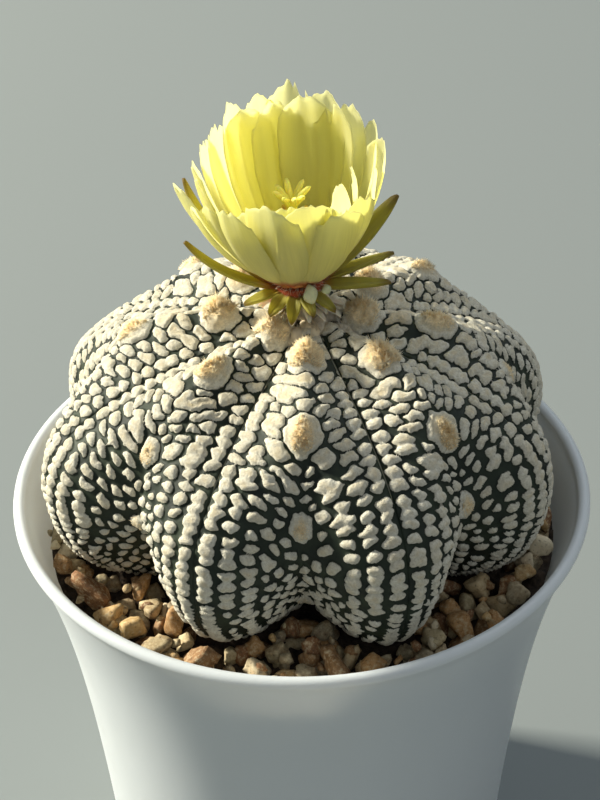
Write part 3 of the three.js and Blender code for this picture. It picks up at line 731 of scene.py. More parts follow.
def pot_profile():
    """The pot's closed section, from the middle of its underside round the rim to its floor."""
    depths = np.arange(POT_HEIGHT, LIP_THICKNESS, -WALL_ROW_STEP)
    foot = pot_radius(POT_HEIGHT)
    foot_inner = foot - FOOT_RING_WIDTH
    floor_top = FOOT_RECESS + FLOOR_THICKNESS
    wall_foot = pot_radius(POT_HEIGHT - floor_top) - WALL
    lip = LIP_THICKNESS / 2
    profile = [(NEAR_AXIS, FOOT_RECESS), (FLOOR_RING_RADIUS, FOOT_RECESS)]
    profile += [(foot_inner - RECESS_CHAMFER, FOOT_RECESS), (foot_inner, FOOT_RECESS - RECESS_CHAMFER)]
    profile += [(foot_inner + out, height) for out, height in RING_INNER_EDGE]
    profile += [(foot + out, height) for out, height in RING_OUTER_EDGE]
    profile += [(pot_radius(depth), POT_HEIGHT - depth) for depth in depths[1:]]
    profile += [
        (RIM_RADIUS - lip + lip * math.cos(turn), POT_HEIGHT - lip + lip * math.sin(turn))
        for turn in LIP_TURNS
    ]
    inside = depths[depths < POT_HEIGHT - floor_top - FLOOR_ROWS_END][::-1]
    profile += [(pot_radius(depth) - WALL, POT_HEIGHT - depth) for depth in inside]
    profile += [(wall_foot, floor_top + FLOOR_FILLET), (wall_foot - FLOOR_FILLET, floor_top)]
    profile += [(FLOOR_RING_RADIUS, floor_top), (NEAR_AXIS, floor_top)]
    return profile + profile[:1]


def make_pot(material):
    points, faces = turned_faces(pot_profile(), POT_COLUMNS)
    shape = points, [faces], np.zeros((len(points), 4))
    piece = make_piece("pot_shell", shape, material, "pot")
    weld(piece)
    drill(piece)


def weld(piece):
    """Closes the seam and the points on the axis."""
    shell = bmesh.new()
    shell.from_mesh(piece.data)
    bmesh.ops.remove_doubles(shell, verts=shell.verts, dist=WELD_DISTANCE * MM)
    bmesh.ops.recalc_face_normals(shell, faces=shell.faces)
    shell.to_mesh(piece.data)
    shell.free()


def drain_places():
    """The centre and radius of each drain hole, one in the middle and a ring of smaller ones."""
    places = [(0, 0, DRAIN_RADII[0])]
    for angle in ring_angles(OUTER_DRAINS):
        places.append((
            DRAIN_RING_RADIUS * math.cos(angle), DRAIN_RING_RADIUS * math.sin(angle), DRAIN_RADII[1]))
    return places


def drill(piece):
    """Cuts the drain holes through the pot's floor."""
    drills = bmesh.new()
    for x, y, radius in drain_places():
        made = bmesh.ops.create_cone(
            drills, cap_ends=True, segments=DRAIN_SIDES, radius1=radius * MM, radius2=radius * MM,
            depth=DRILL_LENGTH * MM)
        bmesh.ops.translate(drills, verts=made["verts"], vec=(x * MM, y * MM, 0))
    mesh = bpy.data.meshes.new("drills")
    drills.to_mesh(mesh)
    drills.free()
    cutter = bpy.data.objects.new("drills", mesh)
    bpy.context.scene.collection.objects.link(cutter)
    cut = piece.modifiers.new("drain_holes", "BOOLEAN")
    cut.operation = "DIFFERENCE"
    cut.object = cutter
    bpy.context.view_layer.objects.active = piece
    bpy.ops.object.modifier_apply(modifier=cut.name)
    bpy.data.objects.remove(cutter)
    bpy.data.meshes.remove(mesh)


# Cactus body


def spline(outline, station):
    """The point at each station of a uniform Catmull-Rom curve through the outline."""
    points = np.array(outline, float)
    last = len(points) - 1
    first = np.clip(np.floor(station), 0, last - 1).astype(int)
    share = (station - first)[..., None]
    before, start, end, after = (points[np.clip(first + step, 0, last)] for step in (-1, 0, 1, 2))
    leave, arrive = (end - before) / 2, (after - start) / 2
    cubic = 2 * start - 2 * end + leave + arrive
    square = -3 * start + 3 * end - 2 * leave - arrive
    return ((cubic * share + square) * share + leave) * share + start


def lobe_scale(azimuth):
    place_in_rib = (azimuth - FIRST_VALLEY) / (TURN / RIBS) - 0.5
    before = np.floor(place_in_rib).astype(int)
    blend = 0.5 - 0.5 * np.cos(math.pi * (place_in_rib - before))
    lobes = np.array(LOBES)
    return lobes[before % RIBS] * (1 - blend) + lobes[(before + 1) % RIBS] * blend


def body_points(station, azimuth):
    station, azimuth = np.broadcast_arrays(np.asarray(station, float), np.asarray(azimuth, float))
    wave = 0.5 - 0.5 * np.cos(RIBS * (azimuth - FIRST_VALLEY))
    share = np.maximum(wave, 0)[..., None] ** CREST_SHARPNESS
    outline = spline(VALLEY_OUTLINE, station) * (1 - share) + spline(CREST_OUTLINE, station) * share
    lobed = np.clip(NECK_STATION - station, 0, 1)
    radius = outline[..., 0] * (1 + (lobe_scale(azimuth) - 1) * lobed)
    x = BODY_CENTRE[0] + radius * np.cos(azimuth)
    y = BODY_CENTRE[1] + radius * np.sin(azimuth)
    return np.stack([x, y, POT_HEIGHT + outline[..., 1]], axis=-1)


def body_frame(station, azimuth, step=0.02):
    """Unit vectors down the skin, round it and out of it."""
    along = unit(body_points(station + step, azimuth) - body_points(station - step, azimuth))
    around = unit(body_points(station, azimuth + step) - body_points(station, azimuth - step))
    return along, around, unit(np.cross(along, around))


def valley_azimuth(valley):
    return FIRST_VALLEY + TURN * valley / RIBS


def areoles(*tables):
    """The valley and the station of each areole, with its value in each table."""
    for valley, stations in enumerate(AREOLE_STATIONS):
        for values in zip(stations, *tables):
            yield valley, *values


def station_rows():
    """Stations a row step apart along the skin, half way between crest and valley."""
    fine = np.linspace(TOP_STATION, EDGE_STATION, 3000)
    middle = (spline(CREST_OUTLINE, fine) + spline(VALLEY_OUTLINE, fine)) / 2
    travelled = np.concatenate([[0], np.cumsum(np.linalg.norm(np.diff(middle, axis=0), axis=1))])
    return np.interp(np.linspace(0, travelled[-1], round(travelled[-1] / ROW_STEP)), travelled, fine)


def body_grid():
    """The skin's points and frames, and how far each point lies from the nearest crest."""
    stations = station_rows()
    azimuths = FIRST_VALLEY + ring_angles(COLUMNS)
    points = body_points(stations[:, None], azimuths[None, :])
    along, around, outward = body_frame(stations[:, None], azimuths[None, :])
    steps = np.linalg.norm(points - np.roll(points, 1, axis=1), axis=2)
    turned = np.roll(steps, HALF_RIB, axis=1).reshape(len(stations), RIBS, RIB_COLUMNS)
    from_left = np.cumsum(turned, axis=2) - turned[:, :, :1]
    whole = from_left[:, :, -1:] + turned[:, :, :1]
    crest = np.minimum(from_left, whole - from_left).reshape(len(stations), COLUMNS)
    return {
        "stations": stations, "points": points, "along": along, "around": around, "outward": outward,
        "crest": np.roll(crest, -HALF_RIB, axis=1), "widths": steps,
    }


def station_at(grid, row):
    return np.interp(row, np.arange(len(grid["stations"])), grid["stations"])


def row_at(grid, station):
    return np.interp(station, grid["stations"], np.arange(len(grid["stations"])))


# Flecks


FLECK_FIELDS = ("row", "column", "across", "along", "turn", "height", "tint", "ring", "loose")
LOOK_FIELDS = ("height", "tint", "ring")


def to_flecks(rows):
    """Flecks by grid row and column, with half sizes across and along the rib, turn, height and look."""
    return np.array([tuple(row) for row in rows], dtype=[(field, float) for field in FLECK_FIELDS])


def skin_points(grid, flecks):
    return body_points(station_at(grid, flecks["row"]), FIRST_VALLEY + TURN * flecks["column"] / COLUMNS)


def grid_indices(grid, flecks):
    rows = np.clip(np.rint(flecks["row"]), 0, len(grid["stations"]) - 1).astype(int)
    return rows, np.rint(flecks["column"]).astype(int) % COLUMNS


def fleck_sizes(flecks):
    return np.sqrt(flecks["across"] * flecks["along"])


def areole_pads(grid, rng):
    """A bare felt pad under the wool of each areole, longer along the valley than across it."""
    pads = []
    for valley, station, (across, along) in areoles(PAD_SIZES):
        tint = rng.uniform(*PAD_TINTS)
        pads.append((row_at(grid, station), valley * RIB_COLUMNS, across, along, 0, PAD_HEIGHT, tint, 0, 0))
    return to_flecks(pads)


def in_bare_band(station, crest, column):
    beside = BARE_OFFSETS[0] < crest < BARE_OFFSETS[1] and station > BARE_STATION
    return beside and int(column) % COLUMNS // HALF_RIB in BARE_HALVES


def bead_strings(grid, pads, rng):
    """Strings of beads down both sides of every crest, and which beads of them have grown together."""
    beads, joined = [], []
    pad_places = skin_points(grid, pads)
    for rib in range(RIBS):
        for side in (-1, 1):
            columns = rib * RIB_COLUMNS + HALF_RIB + side * np.arange(HALF_RIB + 1)
            for order, start in enumerate(STRING_STARTS):
                row = row_at(grid, start) + rng.uniform(0, START_ROWS[0])
                row += START_ROWS[1] * rng.random() if order else 0
                linked = False
                while row < len(grid["stations"]) - 1:
                    bead, step, placed = next_bead(grid, row, columns, order, rng)
                    if placed:
                        from_pads = np.linalg.norm(pad_places - skin_points(grid, to_flecks([bead])), axis=1)
                        placed = (from_pads - pads["across"]).min() > BEAD_PAD_SHARE * bead[2]
                    if placed:
                        beads.append(bead)
                        if linked:
                            joined.append((len(beads) - 2, len(beads) - 1))
                    linked = placed and rng.random() < BEAD_JOINS[order]
                    row += (step if linked else UNLINKED_STEP * step) / ROW_STEP
    return to_flecks(beads), joined


def next_bead(grid, row, columns, order, rng):
    """One bead of a string, the step to the next one, and whether there is room for it."""
    here = int(row)
    station = grid["stations"][here]
    reach = grid["crest"][here, columns % COLUMNS]
    scale, squeeze = np.interp(station, *BEAD_SCALES), np.interp(station, *BEAD_LENGTHS)
    comb = order == 0 and station > COMB_STATION
    size = COMB_SIZE if comb else BEAD_SIZE
    wander = rng.normal(1, BEAD_WANDER[0] + BEAD_WANDER[1] * order)
    offset = (COMB_OFFSET if comb else STRING_OFFSETS[order]) * scale * wander
    column = np.interp(offset, reach, columns)
    across = size[0] * scale * rng.uniform(*BEAD_SIZE_SCATTER)
    along = size[1] * scale * squeeze * rng.uniform(*BEAD_SIZE_SCATTER)
    step = (COMB_STEP if comb else BEAD_STEP) * scale * squeeze * rng.uniform(*BEAD_STEP_SCATTER)
    roomy = reach[-1] - offset > BEAD_VALLEY_SHARE * across
    placed = roomy and not in_bare_band(station, offset, column)
    height = FLECK_HEIGHT * rng.uniform(*BEAD_HEIGHTS)
    return (row, column, across, along, rng.normal(0, BEAD_TURN), height, rng.random(), 0, 0), step, placed


def loose_flecks(grid, placed, rng):
    """Flecks thrown at random on the skin that is left."""
    centres, sizes = skin_points(grid, placed), fleck_sizes(placed)
    flecks = []
    radii = np.linalg.norm(grid["points"][:, 0, :2] - BODY_CENTRE, axis=1)
    rows = rng.choice(len(radii), LOOSE_TRIES, p=radii / radii.sum())
    columns = rng.integers(0, COLUMNS, LOOSE_TRIES)
    for row, column in zip(rows, columns):
        station, crest = grid["stations"][row], grid["crest"][row, column]
        size = np.interp(station, *FLECK_SIZES) * rng.uniform(*LOOSE_SCALES)
        if crest < LOOSE_CREST_GAP * size or in_bare_band(station, crest, column):
            continue
        centre = grid["points"][row, column]
        crowding, gap = np.interp(station, *FLECK_CROWDING), np.interp(station, *FLECK_GAPS)
        if np.all(np.linalg.norm(centres - centre, axis=1) > crowding * (size + sizes) + gap / 4):
            stretch = rng.uniform(*LOOSE_STRETCHES[0 if station < COMB_STATION else 1])
            flecks.append((
                row, column, size / math.sqrt(stretch), size * math.sqrt(stretch), rng.normal(0, LOOSE_TURN),
                FLECK_HEIGHT * rng.uniform(*LOOSE_HEIGHTS), rng.random(), rng.random() < RINGED_SHARE, 1))
            centres, sizes = np.vstack([centres, centre]), np.append(sizes, size)
    return to_flecks(flecks)


def near_pairs(centres, reach):
    """Every two centres that are closer than a reach, as two arrays of their numbers."""
    first, second = [], []
    for index in range(len(centres) - 1):
        near = np.flatnonzero(np.linalg.norm(centres[index + 1:] - centres[index], axis=1) < reach)
        first.append(np.full(len(near), index))
        second.append(near + index + 1)
    return np.concatenate(first), np.concatenate(second)


def join_flecks(grid, flecks, joined, rng):
    """A number for each fleck, shared by those that have grown together."""
    groups = np.arange(len(flecks))
    members = np.ones(len(flecks), int)
    centres, sizes = skin_points(grid, flecks), fleck_sizes(flecks)
    stations = station_at(grid, flecks["row"])
    pads = flecks["height"] == PAD_HEIGHT
    pairs = [(first, second, math.inf) for first, second in joined]
    for first, second in zip(*near_pairs(centres, JOIN_REACH)):
        apart = np.linalg.norm(centres[first] - centres[second])
        touching = apart < JOIN_SHARE * (sizes[first] + sizes[second])
        touching = touching and not pads[first] and not pads[second]
        free = flecks["loose"][first] + flecks["loose"][second]
        if touching and free and rng.random() < free / 2 * np.interp(stations[first], *FLECK_JOINS):
            pairs.append((first, second, MOST_JOINED))
    for first, second, most in pairs:
        old, kept = groups[second], groups[first]
        if old != kept and members[old] + members[kept] <= most:
            members[kept] += members[old]
            groups[groups == old] = kept
    return groups


def settle(grid, flecks, groups):
    """Pushes loose flecks apart until they are packed evenly, and pulls those of one group together."""
    first, second = near_pairs(skin_points(grid, flecks), SETTLING_REACH)
    same = groups[first] == groups[second]
    loose = flecks["loose"]
    either = np.maximum(loose[first] + loose[second], 1)
    first_share, second_share = loose[first] / either, loose[second] / either
    for _ in range(SETTLING_STEPS):
        rows, columns = grid_indices(grid, flecks)
        down, around = grid["along"][rows, columns], grid["around"][rows, columns]
        centres = skin_points(grid, flecks)
        offset = centres[second] - centres[first]
        distance = np.maximum(np.linalg.norm(offset, axis=1), 0.01)
        reach = sum(
            distance / np.hypot(
                np.sum(offset * around[one], axis=1) / flecks["across"][one],
                np.sum(offset * down[one], axis=1) / flecks["along"][one])
            for one in (first, second))
        gap = np.interp(grid["stations"][rows[first]], *FLECK_GAPS)
        pull = PULL_STRENGTH * (PULL_SHARE * reach - distance)
        overlap = np.where(same, pull, np.maximum(PUSH_SHARE * reach + gap - distance, 0) / 2)
        push = (offset / distance[:, None]) * np.where(distance < PUSH_REACH * reach, overlap, 0)[:, None]
        step = np.zeros_like(centres)
        np.add.at(step, second, push * second_share[:, None])
        np.add.at(step, first, -push * first_share[:, None])
        step *= np.minimum(1, LONGEST_STEP / np.maximum(np.linalg.norm(step, axis=1), 0.01))[:, None]
        flecks["row"] += np.sum(step * down, axis=1) / ROW_STEP
        flecks["column"] += np.sum(step * around, axis=1) / grid["widths"][rows, columns]
        flecks["row"] = np.clip(flecks["row"], 0, len(grid["stations"]) - 1)
        rows, columns = grid_indices(grid, flecks)
        short = np.maximum(PUSH_SHARE * flecks["across"] - grid["crest"][rows, columns], 0) * loose
        away = np.where((columns - HALF_RIB) % RIB_COLUMNS < HALF_RIB, 1, -1)
        flecks["column"] += away * short / grid["widths"][rows, columns]


def fleck_field(grid, flecks, groups):
    """How far each point lies inside a fleck and inside its nearest bead, with that bead's look."""
    points = grid["points"]
    bent = points + np.stack([layered_noise(points, FLECK_BENDS, axis) for axis in range(3)], axis=-1)
    shape = points.shape[:2]
    best, rival, member = (np.full(shape, FAR_OUTSIDE) for _ in range(3))
    look = {field: np.zeros(shape) for field in LOOK_FIELDS}
    order = np.argsort(groups, kind="stable")
    for group in np.split(order, np.flatnonzero(np.diff(groups[order])) + 1):
        window, own, top, own_look = group_field(grid, bent, flecks[group])
        closer = own > best[window]
        rival[window] = np.where(closer, best[window], np.maximum(rival[window], own))
        best[window] = np.where(closer, own, best[window])
        member[window] = np.where(closer, top, member[window])
        for field, value in own_look.items():
            look[field][window] = np.where(closer, value, look[field][window])
    tables = (FLECK_GAPS, FLECK_GROWTHS, FLECK_ROUNDINGS)
    gap, growth, rounding = (np.interp(grid["stations"], *table)[:, None] for table in tables)
    between = (best - rival) / 2 - gap / 2
    grown = best + growth
    inside = np.minimum(grown, between) - rounding * np.log1p(np.exp(-np.abs(grown - between) / rounding))
    clearance = GROOVE_CLEARANCE[0] + GROOVE_CLEARANCE[1] * noise(points, *GROOVE_NOISE)
    return np.minimum(inside, grid["crest"] - clearance), member, look


def group_field(grid, bent, flecks):
    """How far each point of a window lies inside flecks that have grown together."""
    rows, columns = grid_indices(grid, flecks)
    centres = skin_points(grid, flecks)
    reach = flecks["across"].max() + FLECK_REACH
    side = columns[0] + (columns - columns[0] + COLUMNS // 2) % COLUMNS - COLUMNS // 2
    span = min(int(reach / grid["widths"][rows, columns].min()) + 2, COLUMNS // 2 - 1)
    left = side.min() - span
    window_columns = np.arange(left, min(side.max() + span, left + COLUMNS - 1) + 1)
    tall = int((flecks["along"].max() + FLECK_REACH) / ROW_STEP) + 2
    low, high = max(rows.min() - tall, 0), min(rows.max() + tall + 1, len(bent))
    window = np.ix_(np.arange(low, high), window_columns % COLUMNS)
    total = np.full((high - low, len(window_columns)), 1e-12)
    top = np.full(total.shape, FAR_OUTSIDE)
    look = {field: np.zeros(total.shape) for field in LOOK_FIELDS}
    for fleck, row, column, centre in zip(flecks, rows, columns, centres):
        part = slice(max(row - tall, 0) - low, min(row + tall + 1, len(bent)) - low)
        offset = bent[window][part] - centre
        down, around = grid["along"][row, column], grid["around"][row, column]
        cos, sin = math.cos(fleck["turn"]), math.sin(fleck["turn"])
        sideways = offset @ (around * cos + down * sin) / fleck["across"]
        lengthways = offset @ (down * cos - around * sin) / fleck["along"]
        size = math.sqrt(fleck["across"] * fleck["along"])
        outwards = offset @ grid["outward"][row, column] / size
        inside = size * (1 - np.sqrt(sideways ** 2 + lengthways ** 2 + OUTWARD_WEIGHT * outwards ** 2))
        closer = inside > top[part]
        top[part] = np.where(closer, inside, top[part])
        total[part] += np.exp(np.maximum(inside, -5) / BLEND)
        for field, value in look.items():
            value[part] = np.where(closer, fleck[field], value[part])
    return window, np.minimum(BLEND * np.log(total), top + GROUP_SWELLING), top, look


def wool_rise(distance):
    """How high a tuft of wool stands, as a share, at a share of the way to its edge."""
    return np.clip(1 - (distance / TUFT_REACH) ** 2, 0, 1) ** TUFT_FLATNESS


def raise_wool(grid):
    """How much the tufts of wool raise each point of the skin, and how woolly it is there."""
    lift, wool = (np.zeros(grid["crest"].shape) for _ in range(2))
    for valley, station, (across, along, height), tint in areoles(WOOL_SIZES, WOOL_TINTS):
        azimuth = valley_azimuth(valley)
        down, around, _ = body_frame(station, azimuth)
        offset = grid["points"] - body_points(station, azimuth)
        distance = np.hypot(offset @ around / across, offset @ down / along)
        lift += height * wool_rise(distance)
        wool = np.maximum(wool, tint * (1 - smooth_step(distance, *WOOLLY_SHARES)))
    woolly = wool > 0
    fuzz = layered_noise(grid["points"][woolly], WOOL_FUZZ)
    lift[woolly] += fuzz * np.minimum(wool[woolly] * lift[woolly], 1)
    return lift, wool


def flecked_skin(grid):
    """The skin's points raised by the flecks and sunk along the crests, with their marks."""
    rng = np.random.default_rng(BODY_SEED)
    pads = areole_pads(grid, rng)
    beads, joined = bead_strings(grid, pads, rng)
    joined = [(first + len(pads), second + len(pads)) for first, second in joined]
    flecks = np.concatenate([pads, beads])
    flecks = np.concatenate([flecks, loose_flecks(grid, flecks, rng)])
    groups = join_flecks(grid, flecks, joined, rng)
    settle(grid, flecks, groups)
    inside, member, look = fleck_field(grid, flecks, groups)
    rise = np.clip(np.minimum(inside, member + FLECK_SHELF) / FLECK_EDGE, 0, 1)
    hollow = look["ring"] * smooth_step(inside, *RING_SHARES)
    pillow = FLECK_DOME[0] + FLECK_DOME[1] * smooth_step(member, *PILLOW_SHARES)
    dome = np.sqrt(1 - (1 - rise) ** 2) * (pillow - RING_DEPTH * hollow)
    low = smooth_step(grid["stations"], *GROOVE_END)[:, None]
    groove = GROOVE_DEPTH * (1 - GROOVE_FADE * low) * np.exp(-((grid["crest"] / GROOVE_WIDTH) ** 2))
    tufts, wool = raise_wool(grid)
    points = grid["points"] + grid["outward"] * (look["height"] * dome - groove + tufts)[..., None]
    # Blue, the crest's distance, is raised low on the body, so the painted highlight along the crest fades
    # out there.
    marks = np.stack([
        np.clip(0.5 + inside / 2, 0, 1), np.where(wool > 0.01, 0.5 + wool / 2, look["tint"] / 2),
        np.clip(grid["crest"] / 2 + 0.1 * low, 0, 1), hollow,
    ], axis=-1)
    return points, marks


def make_ribs(grid, material):
    """One closed wedge for each rib, from crest to crest, round the valley in its middle."""
    points, marks = flecked_skin(grid)
    rows = len(points)
    columns = RIB_COLUMNS + 1
    heights = np.linspace(points[0, :, 2].min() - WEDGE_DEPTH, points[-1, :, 2].max(), rows)
    axis = np.stack([np.full(rows, BODY_CENTRE[0]), np.full(rows, BODY_CENTRE[1]), heights], axis=1)
    start = rows * columns
    down = np.arange(rows - 1)
    lefts = down * columns
    rights = lefts + columns - 1
    faces = [
        grid_faces(rows, columns),
        np.stack([start + down, start + down + 1, lefts + columns, lefts], axis=1),
        np.stack([rights, rights + columns, start + down + 1, start + down], axis=1),
        fan(start, np.arange(columns)),
        flipped(fan(start + rows - 1, start - columns + np.arange(columns))),
    ]
    for rib in range(RIBS):
        chosen = np.arange(rib * RIB_COLUMNS - HALF_RIB, rib * RIB_COLUMNS + HALF_RIB + 1) % COLUMNS
        wedge = np.concatenate([points[:, chosen].reshape(-1, 3), axis])
        wedge_marks = np.concatenate([marks[:, chosen].reshape(-1, 4), np.zeros((rows, 4))])
        shape = wedge, faces, wedge_marks
        make_piece(f"rib_{rib + 1}", shape, material, "cactus_body", smooth_groups=1)


def make_root(material):
    """The smooth underside and tap root, hidden in the grit and the soil."""
    rows, columns = ROOT_GRID
    stations = np.linspace(EDGE_STATION - ROOT_OVERLAP, ROOT_STATION - NEAR_AXIS, rows)
    azimuths = FIRST_VALLEY + ring_angles(columns)
    points = body_points(stations[:, None], azimuths[None, :])
    _, _, outward = body_frame(stations[:, None], azimuths[None, :], 0.005)
    points = points + outward * (layered_noise(points, ROOT_WAVES) - ROOT_SINK)[..., None]
    centres = np.array([points[0].mean(axis=0), points[-1].mean(axis=0)])
    start = rows * columns
    ring = np.append(np.arange(columns), 0)
    faces = [
        grid_faces(rows, columns, closed=True), fan(start, ring),
        flipped(fan(start + 1, start - columns + ring)),
    ]
    points = np.concatenate([points.reshape(-1, 3), centres])
    shape = points, faces, point_marks(len(points), 0, 0.5, 1, 0)
    make_piece("tap_root", shape, material, "cactus_body")


# Wool


def areole_hairs(station, azimuth, sizes, length, count, rng):
    """Hairs that stand out of one tuft of wool."""
    across, along, height = sizes
    down, around, outward = body_frame(station, azimuth)
    distance = np.sqrt(rng.random(count)) * HAIR_REACH
    turn = rng.uniform(0, TURN, count)
    sideways, lengthways = distance * np.cos(turn), distance * np.sin(turn)
    centre, step = body_points(station, azimuth), 0.05
    station_rate = np.linalg.norm(body_points(station + step, azimuth) - centre) / step
    azimuth_rate = np.linalg.norm(body_points(station, azimuth + step) - centre) / step
    stations = station + lengthways * along / station_rate
    roots = body_points(stations, azimuth + sideways * across / azimuth_rate)
    roots = roots + outward * (height * wool_rise(distance) + HAIR_FOOT * PAD_HEIGHT)[:, None]
    leaning = outward + HAIR_LEAN * (sideways[:, None] * around + lengthways[:, None] * down)
    bends = np.stack([noise(roots, HAIR_CLUMPS, HAIR_SEED + axis) for axis in (1, 2, 3)], axis=1)
    directions = leaning + HAIR_BEND * bends + rng.normal(0, HAIR_SCATTER, (count, 3))
    clump = noise(roots, HAIR_CLUMPS, HAIR_SEED)
    lengths = length * rng.uniform(*HAIR_SHARES, count) * (1.1 - 0.45 * distance) * (1 + 0.25 * clump)
    light = np.clip(0.1 + 0.55 * distance ** 2 + 0.35 * clump + rng.normal(0, 0.18, count), 0, 1)
    return hairs(roots, directions, lengths, HAIR_WIDTH, point_marks(count, light, rng.random(count), 0, 1))


def make_areoles(material):
    rng = np.random.default_rng(BODY_SEED + 1)
    parts = [
        areole_hairs(station, valley_azimuth(valley), sizes, length, count, rng)
        for valley, station, sizes, length, count in areoles(WOOL_SIZES, HAIR_LENGTHS, WOOL_HAIRS)
    ]
    make_piece("areole_wool", join_parts(parts), material, "cactus_body")


def wool_lump(centre, axes, sizes, age, rng):
    """A lump of old wool with hairs standing out of it, as two parts."""
    ball, faces = sphere_mesh(3)
    basis = np.stack(axes)
    shape = ball * (1 + layered_noise(ball, LUMP_ROUGHNESS, new_seed(rng)))[:, None]
    lump = (centre + shape * sizes @ basis, faces, point_marks(len(ball), 0.4, rng.uniform(0.2, 0.8), age, 1))
    spots = unit(rng.normal(size=(LUMP_HAIRS, 3)))
    directions = unit(spots / sizes @ basis) + rng.normal(0, LUMP_HAIR_SCATTER, (LUMP_HAIRS, 3))
    marks = point_marks(LUMP_HAIRS, rng.uniform(0.3, 1, LUMP_HAIRS), rng.random(LUMP_HAIRS), age, 1)
    lengths = rng.uniform(*LUMP_HAIR_LENGTHS, LUMP_HAIRS)
    return lump, hairs(centre + spots * sizes * 0.9 @ basis, directions, lengths, LUMP_HAIR_WIDTH, marks)


def make_crown_wool(material):
    """Older wool packed round the foot of the flower tube."""
    rng = np.random.default_rng(BODY_SEED + 2)
    lumps, hair_sets = [], []
    for index in range(WOOL_LUMPS):
        azimuth = TURN * (index + rng.uniform(-0.2, 0.2)) / WOOL_LUMPS
        station = rng.uniform(*LUMP_STATIONS)
        sizes = np.array(LUMP_SIZE) * rng.uniform(*LUMP_SCALES)
        age = rng.uniform(0.35, 1)
        lump, fuzz = wool_lump(
            body_points(station, azimuth), body_frame(station, azimuth), sizes, age, rng)
        lumps.append(lump)
        hair_sets.append(fuzz)
    make_piece("crown_wool", join_parts(lumps + hair_sets), material, "cactus_body")


# Grit


def random_turn(rng):
    """A random turn in space, as a matrix."""
    turn, upper = np.linalg.qr(rng.normal(size=(3, 3)))
    turn = turn * np.sign(np.diag(upper))
    return turn * np.sign(np.linalg.det(turn))


def stone_part(ball, centre, radius, rng):
    """A broken stone: a ball cut back by planes, with worn edges and a rough skin."""
    directions, faces = ball
    planes = unit(rng.normal(size=(STONE_PLANES, 3)))
    offsets = rng.uniform(*PLANE_OFFSETS, STONE_PLANES)
    facing = np.maximum(directions @ planes.T, LEAST_FACING) / offsets
    reach = np.sum(facing ** STONE_SHARPNESS, axis=1) ** (-1 / STONE_SHARPNESS)
    shape = directions * np.minimum(reach, STONE_REACH)[:, None]
    shape = shape / np.abs(shape).max()
    shape = shape * (1 + layered_noise(shape, STONE_ROUGHNESS, new_seed(rng)))[:, None]
    shape = shape * [rng.uniform(*side) for side in STONE_SIDES]
    points = centre + radius * shape @ random_turn(rng)
    colour = np.array(STONE_COLOURS[rng.integers(len(STONE_COLOURS))]) * rng.uniform(*STONE_SHADES)
    return points, faces, point_marks(len(points), *np.clip(colour, 0, 1), 1)


def stone_places(layer, skin, rng):
    """Places for one layer of stones, clear of the wall, the body and each other."""
    skin_places, skin_outward = skin
    wall = pot_radius(layer["depth"]) - WALL - STONE_WALL_GAP
    low, high = layer["radii"]
    placed = []
    for _ in range(layer["tries"]):
        radius = low + (high - low) * rng.random() ** SMALLNESS
        distance = (wall - STONE_WALL_SHARE * radius) * math.sqrt(rng.uniform(INNERMOST_SHARE, 1))
        angle = rng.uniform(0, TURN)
        sideways = smooth_step(math.sin(angle), *PILE_SIDES)
        piled = SIDE_PILE * smooth_step(distance, *PILE_RADII) * sideways
        height = POT_HEIGHT - layer["depth"] + rng.uniform(-STONE_JITTER, STONE_JITTER) + piled
        centre = np.array([distance * math.cos(angle), distance * math.sin(angle), height])
        offset = centre - skin_places
        nearest = np.argmin(np.sum(offset ** 2, axis=1))
        if offset[nearest] @ skin_outward[nearest] < STONE_BODY_SHARE * radius + STONE_BODY_GAP:
            continue
        if all(np.linalg.norm(centre - other) > layer["spacing"] * (radius + size) for other, size in placed):
            placed.append((centre, radius))
    return placed


def make_stones(grid, material):
    rng = np.random.default_rng(GRIT_SEED)
    belly = grid["stations"] > BELLY_STATION
    row_step, column_step = BELLY_SAMPLING
    skin = tuple(
        grid[key][belly][::row_step, ::column_step].reshape(-1, 3) for key in ("points", "outward"))
    for number, layer in enumerate(STONE_LAYERS):
        placed = stone_places(layer, skin, rng)
        ball = sphere_mesh(layer["detail"])
        parts = [stone_part(ball, centre, radius, rng) for centre, radius in placed]
        make_piece(f"stones_{number + 1}", join_parts(parts), material, "grit")


def body_radius_at(depth, azimuths):
    stations = np.linspace(*NECK_STATIONS)
    skin = body_points(stations[:, None], azimuths[None, :])
    offset = skin[..., :2] - BODY_CENTRE
    lowest = np.argmin(np.abs(skin[..., 2] - (POT_HEIGHT - depth)), axis=0)
    return np.linalg.norm(offset, axis=-1)[lowest, np.arange(len(azimuths))]


def make_bed(material):
    """The dark bed of fines under the stones, a ring that fits the wall and the neck of the body."""
    azimuths = ring_angles(BED_COLUMNS)
    ring = np.stack([np.cos(azimuths), np.sin(azimuths)], axis=1)
    top_rows = BED_ROWS[0]
    rows = []
    for depth, row_count, way in zip(BED_DEPTHS, BED_ROWS, (1, -1)):
        inner = BODY_CENTRE + (body_radius_at(depth, azimuths) + BED_BODY_GAP)[:, None] * ring
        outer = (pot_radius(depth) - WALL - BED_WALL_GAP) * ring
        heights = np.full((BED_COLUMNS, 1), POT_HEIGHT - depth)
        for share in np.linspace(0, 1, row_count)[::way]:
            rows.append(np.hstack([inner * (1 - share) + outer * share, heights]))
    points = np.array(rows)
    crumbs = layered_noise(points[:top_rows], BED_CRUMBS)
    points[:top_rows, :, 2] += np.clip(crumbs, -BED_RELIEF, BED_RELIEF)
    points = points.reshape(-1, 3)
    faces = grid_faces(len(rows) + 1, BED_COLUMNS, closed=True) % len(points)
    shape = points, [faces], np.zeros((len(points), 4))
    make_piece("grit_bed", shape, material, "grit")


# Flower


